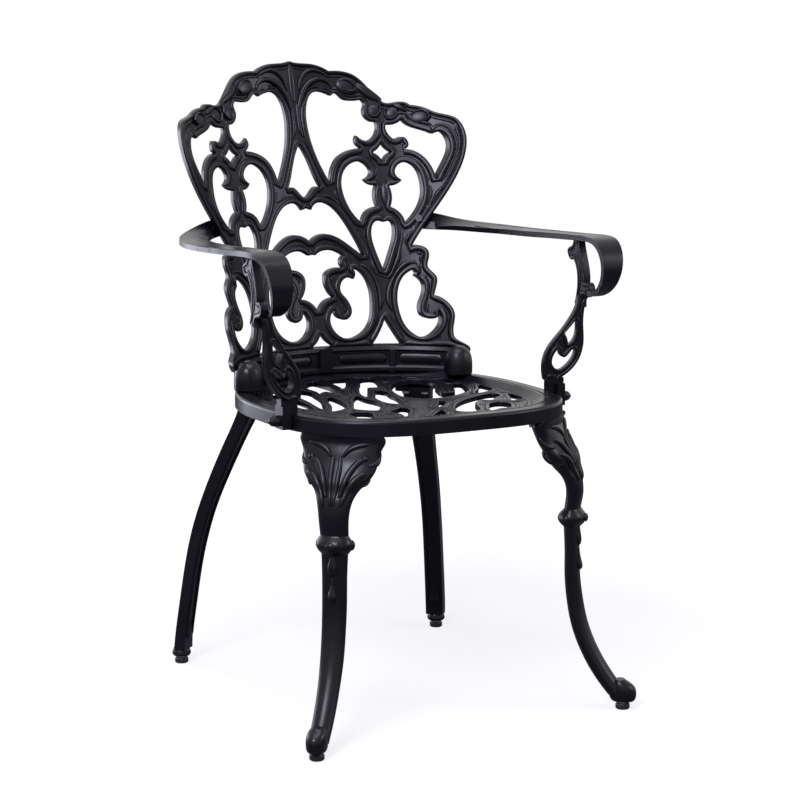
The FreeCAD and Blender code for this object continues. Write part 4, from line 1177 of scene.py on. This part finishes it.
@dataclass(frozen=True)
class RailRelief:
    """The raised cushions in the recessed panels of the back's rail, and the bars between them.

    Attributes:
        panels: The first and last angle of each right-hand panel from the middle, in degrees.
        gap_mm: Width of the groove left round each cushion.
        recess_mm: Width of a recess.
        height_mm: How high a cushion stands.
        divider: Angle of the upright bar between two panels, in degrees.
        divider_mm: Its width, length and height.
        divider_middle: Height of its middle above the floor; its foot is buried in the seat.
    """

    panels: Tuple[Point2, ...] = ((6.0, 25.5), (30.0, 48.0))
    gap_mm: float = 1.0
    recess_mm: float = 17.0
    height_mm: float = 2.5
    divider: float = 27.75
    divider_mm: Point3 = (11.0, 38.5, 2.0)
    divider_middle: float = 0.44375

    def build(self, layout: Layout) -> List[bpy.types.Object]:
        """Raise the cushions and the bars.

        Args:
            layout: Shared places.

        Returns:
            The pieces.
        """
        face = RailFace(layout, layout.rail_recess)
        relief = Relief(face)
        front = Relief(RailFace(layout, 0.0))
        width, length, height = self.divider_mm
        for side in (1.0, -1.0):
            for first, last in self.panels:
                a = math.radians(first) * face.radius + self.gap_mm * MM
                b = math.radians(last) * face.radius - self.gap_mm * MM
                ends = [(side * x, layout.rail_middle) for x in (a, b)]
                relief.pillow(ends[0], ends[1], self.recess_mm - 2.0 * self.gap_mm, self.height_mm)
            between = side * math.radians(self.divider) * layout.back_radius
            ends = [(between, self.divider_middle + way * length * 0.5 * MM) for way in (-1.0, 1.0)]
            front.pillow(ends[0], ends[1], width, height)
        return [relief.piece("rail_cushions"), front.piece("rail_dividers")]


@dataclass(frozen=True)
class RearLegRelief:
    """The raised edges of the channel on the inner face of one rear leg.

    Attributes:
        turn: Bearing of the leg from +X, in degrees.
        centre_y: Where across the chair's middle line its bearing starts, in millimetres.
        edge: One edge, from the top down; it has a twin on the other side of the middle line.
        web: The pointed web that closes the channel above the foot.
    """

    turn: float
    centre_y: float = -11.1
    edge: Stroke = Stroke(
        (
            (17.0, 394.0), (15.5, 378.0), (13.5, 345.0), (12.0, 310.0), (11.0, 260.0), (10.3, 200.0),
            (10.0, 120.0), (10.0, 44.0),
        ),
        6.0,
        3.2,
        0.8,
    )
    web: Stroke = Stroke(((0.0, 84.0), (0.0, 62.0), (0.0, 36.0)), 21.0, 3.0, 0.05, 0.85)

    def build(self, node: bpy.types.Object) -> List[bpy.types.Object]:
        """Raise the edges.

        Args:
            node: The leg's CAD node.

        Returns:
            The piece.
        """
        a = math.radians(self.turn)
        inward = Vector((-math.cos(a), -math.sin(a), 0.0))
        relief = Relief(CastFace(node, (0.0, self.centre_y * MM, 0.0), UP.cross(inward), UP))
        relief.stroke(self.edge)
        relief.stroke(self.edge, -1.0)
        relief.stroke(self.web)
        return [relief.piece(node.name.replace("leg_", "channel_"))]


@dataclass(frozen=True)
class SeatRelief:
    """The relief on the seat: beads along every scroll of the panel.

    Attributes:
        bead: The bead along the scrolls.
    """

    bead: Bead = Bead(reach_mm=6.5, height_mm=1.3, step_mm=2.2)

    def build(self, node: bpy.types.Object, layout: Layout) -> List[bpy.types.Object]:
        """Raise the panel's beads.

        Args:
            node: The seat's CAD node.
            layout: Shared places.

        Returns:
            The piece.
        """
        relief = Relief(FlatFace((0.0, layout.axis_y, layout.panel_top), (1.0, 0.0, 0.0), (0.0, 1.0, 0.0)))
        relief.beads(node, self.bead)
        return [relief.piece("seat_relief")]


@dataclass(frozen=True)
class ArmRelief:
    """The relief on one arm: beads on both faces of its support and along the strip's top.

    Attributes:
        side: 1 for the arm on the viewer's right, -1 for the left.
        bead: The bead on the support.
        support_turn: Angle of the support's panel from straight across, in degrees.
        support_at: A place on the panel's middle, in plan about the axis, in millimetres.
        support_thick: The support's thickness, in millimetres.
        bar_at: The upper bar's middle across the chair, in millimetres.
        least_mm: Edges of the support shorter than this get no bead.
        above: A height above the strip, from which it is looked at.
        strip: The beads on the strip, from the back to the front, in plan about the axis.
    """

    side: float
    bead: Bead = Bead(reach_mm=6.0, height_mm=1.2, step_mm=2.0)
    support_turn: float = 15.4
    support_at: Point2 = (219.0, -99.0)
    support_thick: float = 9.0
    bar_at: float = 252.0
    least_mm: float = 40.0
    above: float = 0.75
    strip: Tuple[Stroke, ...] = (
        Stroke(
            ((214.0, 148.0), (229.0, 95.0), (235.0, 30.0), (237.0, -35.0), (238.5, -93.0), (240.5, -120.0)),
            6.0,
            1.1,
            0.5,
        ),
        Stroke(
            ((256.0, 148.0), (272.0, 95.0), (277.5, 30.0), (276.5, -35.0), (273.5, -93.0), (272.0, -120.0)),
            6.0,
            1.1,
            0.5,
        ),
    )

    def build(self, node: bpy.types.Object, layout: Layout) -> List[bpy.types.Object]:
        """Raise the arm's beads.

        Args:
            node: The arm's CAD node.
            layout: Shared places.

        Returns:
            The pieces.
        """
        ending = "right" if self.side > 0 else "left"
        a = math.radians(self.support_turn)
        through = Vector((self.side * math.sin(a), math.cos(a), 0.0))
        x, y = self.support_at
        middle = Vector((self.side * x * MM, y * MM + layout.axis_y, 0.0))
        faces = []
        for way in (-1.0, 1.0):
            faces.append((middle + through * (way * self.support_thick * 0.5 * MM), through * way))
            origin = Vector((self.side * (self.bar_at + way * self.support_thick * 0.5) * MM, 0.0, 0.0))
            faces.append((origin, Vector((self.side * way, 0.0, 0.0))))
        made = []
        for number, (origin, out) in enumerate(faces, start=1):
            relief = Relief(FlatFace(origin, UP.cross(out), UP))
            relief.beads(node, self.bead, self.least_mm)
            if relief.places:
                made.append(relief.piece(f"arm_{ending}_relief_{number}"))
        top = Relief(CastFace(node, (0.0, layout.axis_y, self.above), (1.0, 0.0, 0.0), (0.0, 1.0, 0.0)))
        for line in self.strip:
            top.stroke(line, self.side)
        made.append(top.piece(f"arm_{ending}_edge_beads"))
        return made


@dataclass(frozen=True)
class LegRelief:
    """The carving of one front leg: the knee's leaf, the buttons on the ring and the leaves below it.

    Attributes:
        turn: Bearing of the leg from +X, in degrees.
        front: Ribs on the front, by across and height; one that starts off the middle line has a twin.
        flank: Ribs on both sides, by distance from the axis and height.
        buttons: Domes on the front.
        before: Distance from the axis from which the front is looked at.
        beside: Distance from the leg's middle plane from which a flank is looked at.
    """

    turn: float
    front: Tuple[Stroke, ...] = (
        Stroke(((8.0, 383.0), (14.0, 391.0), (25.0, 397.0), (41.0, 400.0)), 8.0, 3.8, 0.35),
        Stroke(((4.6, 385.0), (5.4, 368.0), (4.4, 348.0), (1.8, 322.0)), 7.5, 3.8, 0.35, 0.4),
        Stroke(((36.0, 381.0), (26.0, 374.0), (16.5, 358.0), (9.0, 333.0)), 10.0, 4.6, 0.35, 0.4),
        Stroke(((40.0, 364.0), (27.0, 355.0), (18.0, 340.0), (12.0, 322.0)), 9.5, 4.6, 0.35, 0.35),
        Stroke(((0.0, 263.0), (0.0, 247.0), (0.0, 229.0)), 14.0, 4.0, 0.3, 0.75),
        Stroke(((0.0, 225.0), (0.0, 211.0), (0.0, 194.0)), 12.0, 5.0, 0.25, 0.8),
    )
    flank: Tuple[Stroke, ...] = (
        Stroke(((252.0, 347.0), (241.0, 350.0), (230.0, 355.0), (222.0, 363.0)), 10.0, 5.5, 0.4, 0.75),
        Stroke(((244.0, 372.0), (236.0, 374.0), (228.0, 379.0), (221.0, 387.0)), 9.0, 3.4, 0.4, 0.6),
        Stroke(((255.0, 262.0), (255.0, 267.0), (255.0, 274.0)), 12.0, 2.8, 0.6),
    )
    buttons: Tuple[Boss, ...] = (
        Boss((0.0, 269.0), 7.0, 6.0, 3.2),
        Boss((37.0, 381.5), 4.5, 4.0, 3.2),
        Boss((-37.0, 381.5), 4.5, 4.0, 3.2),
    )
    before: float = 0.6
    beside: float = 0.3

    def build(self, node: bpy.types.Object, layout: Layout) -> List[bpy.types.Object]:
        """Raise the carving.

        Args:
            node: The leg's CAD node.
            layout: Shared places.

        Returns:
            The pieces.
        """
        ending = node.name.replace("leg_", "")
        a = math.radians(self.turn)
        out = Vector((math.cos(a), math.sin(a), 0.0))
        across = UP.cross(out)
        axis = Vector((0.0, layout.axis_y, 0.0))
        face = CastFace(node, axis + out * self.before, across, UP)
        relief = Relief(face)
        for rib in self.front:
            relief.stroke(rib)
            if rib.path[0][0] != 0.0:
                relief.stroke(rib, -1.0)
        made = [relief.piece(f"leaf_{ending}")]
        for side, name in ((1.0, "a"), (-1.0, "b")):
            flank = Relief(CastFace(node, axis + across * (self.beside * side), out * -side, UP))
            for rib in self.flank:
                flank.stroke(rib, -side)
            made.append(flank.piece(f"leaf_{ending}_flank_{name}"))
        made.append(raise_bosses(face, self.buttons, f"leaf_{ending}_buttons"))
        return made


class Armchair:
    """The whole chair: finishes on the CAD nodes, and the relief over them."""

    def __init__(self, frame: Dict, layout: Layout, painter: Painter) -> None:
        """Keep what the dressing needs.

        Args:
            layout: Shared places.
            painter: Makes the finishes.
        """
        self.frame = frame
        self.layout = layout
        self.painter = painter

    def dress(self) -> None:
        """Give every CAD node its finish."""
        slots = {s["node"]: s["material_slot"] for s in self.frame["record"]["subparts"]}
        for name, node in self.frame["nodes"].items():
            self.painter.paint(node, Metal(slots[name]))

    def adorn(self) -> None:
        """Raise the cast relief over the nodes and let each piece ride on the chair."""
        nodes = self.frame["nodes"]
        pieces: List[bpy.types.Object] = []
        pieces += BackRelief().build(nodes["back_casting"], self.layout)
        pieces += RailRelief().build(self.layout)
        pieces += SeatRelief().build(nodes["seat_casting"], self.layout)
        pieces += ArmRelief(1.0).build(nodes["arm_right"], self.layout)
        pieces += ArmRelief(-1.0).build(nodes["arm_left"], self.layout)
        pieces += LegRelief(-45.0).build(nodes["leg_front_right"], self.layout)
        pieces += LegRelief(-135.0).build(nodes["leg_front_left"], self.layout)
        pieces += RearLegRelief(46.9).build(nodes["leg_rear_right"])
        pieces += RearLegRelief(133.1).build(nodes["leg_rear_left"])
        for piece in pieces:
            self.painter.paint(piece, Metal.CASTING)
            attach(piece, BODY)
            LOG.info("%s: %d faces", piece.name, len(piece.data.polygons))


def main() -> None:
    """Load the frame, dress it, light it and stand the camera."""
    logging.basicConfig(level=logging.INFO)
    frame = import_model()
    chair = Armchair(frame, Layout(), Painter(Skin()))
    chair.dress()
    chair.adorn()
    Studio(Eye(), Lighting()).set_up()


if __name__ == "__main__":
    main()
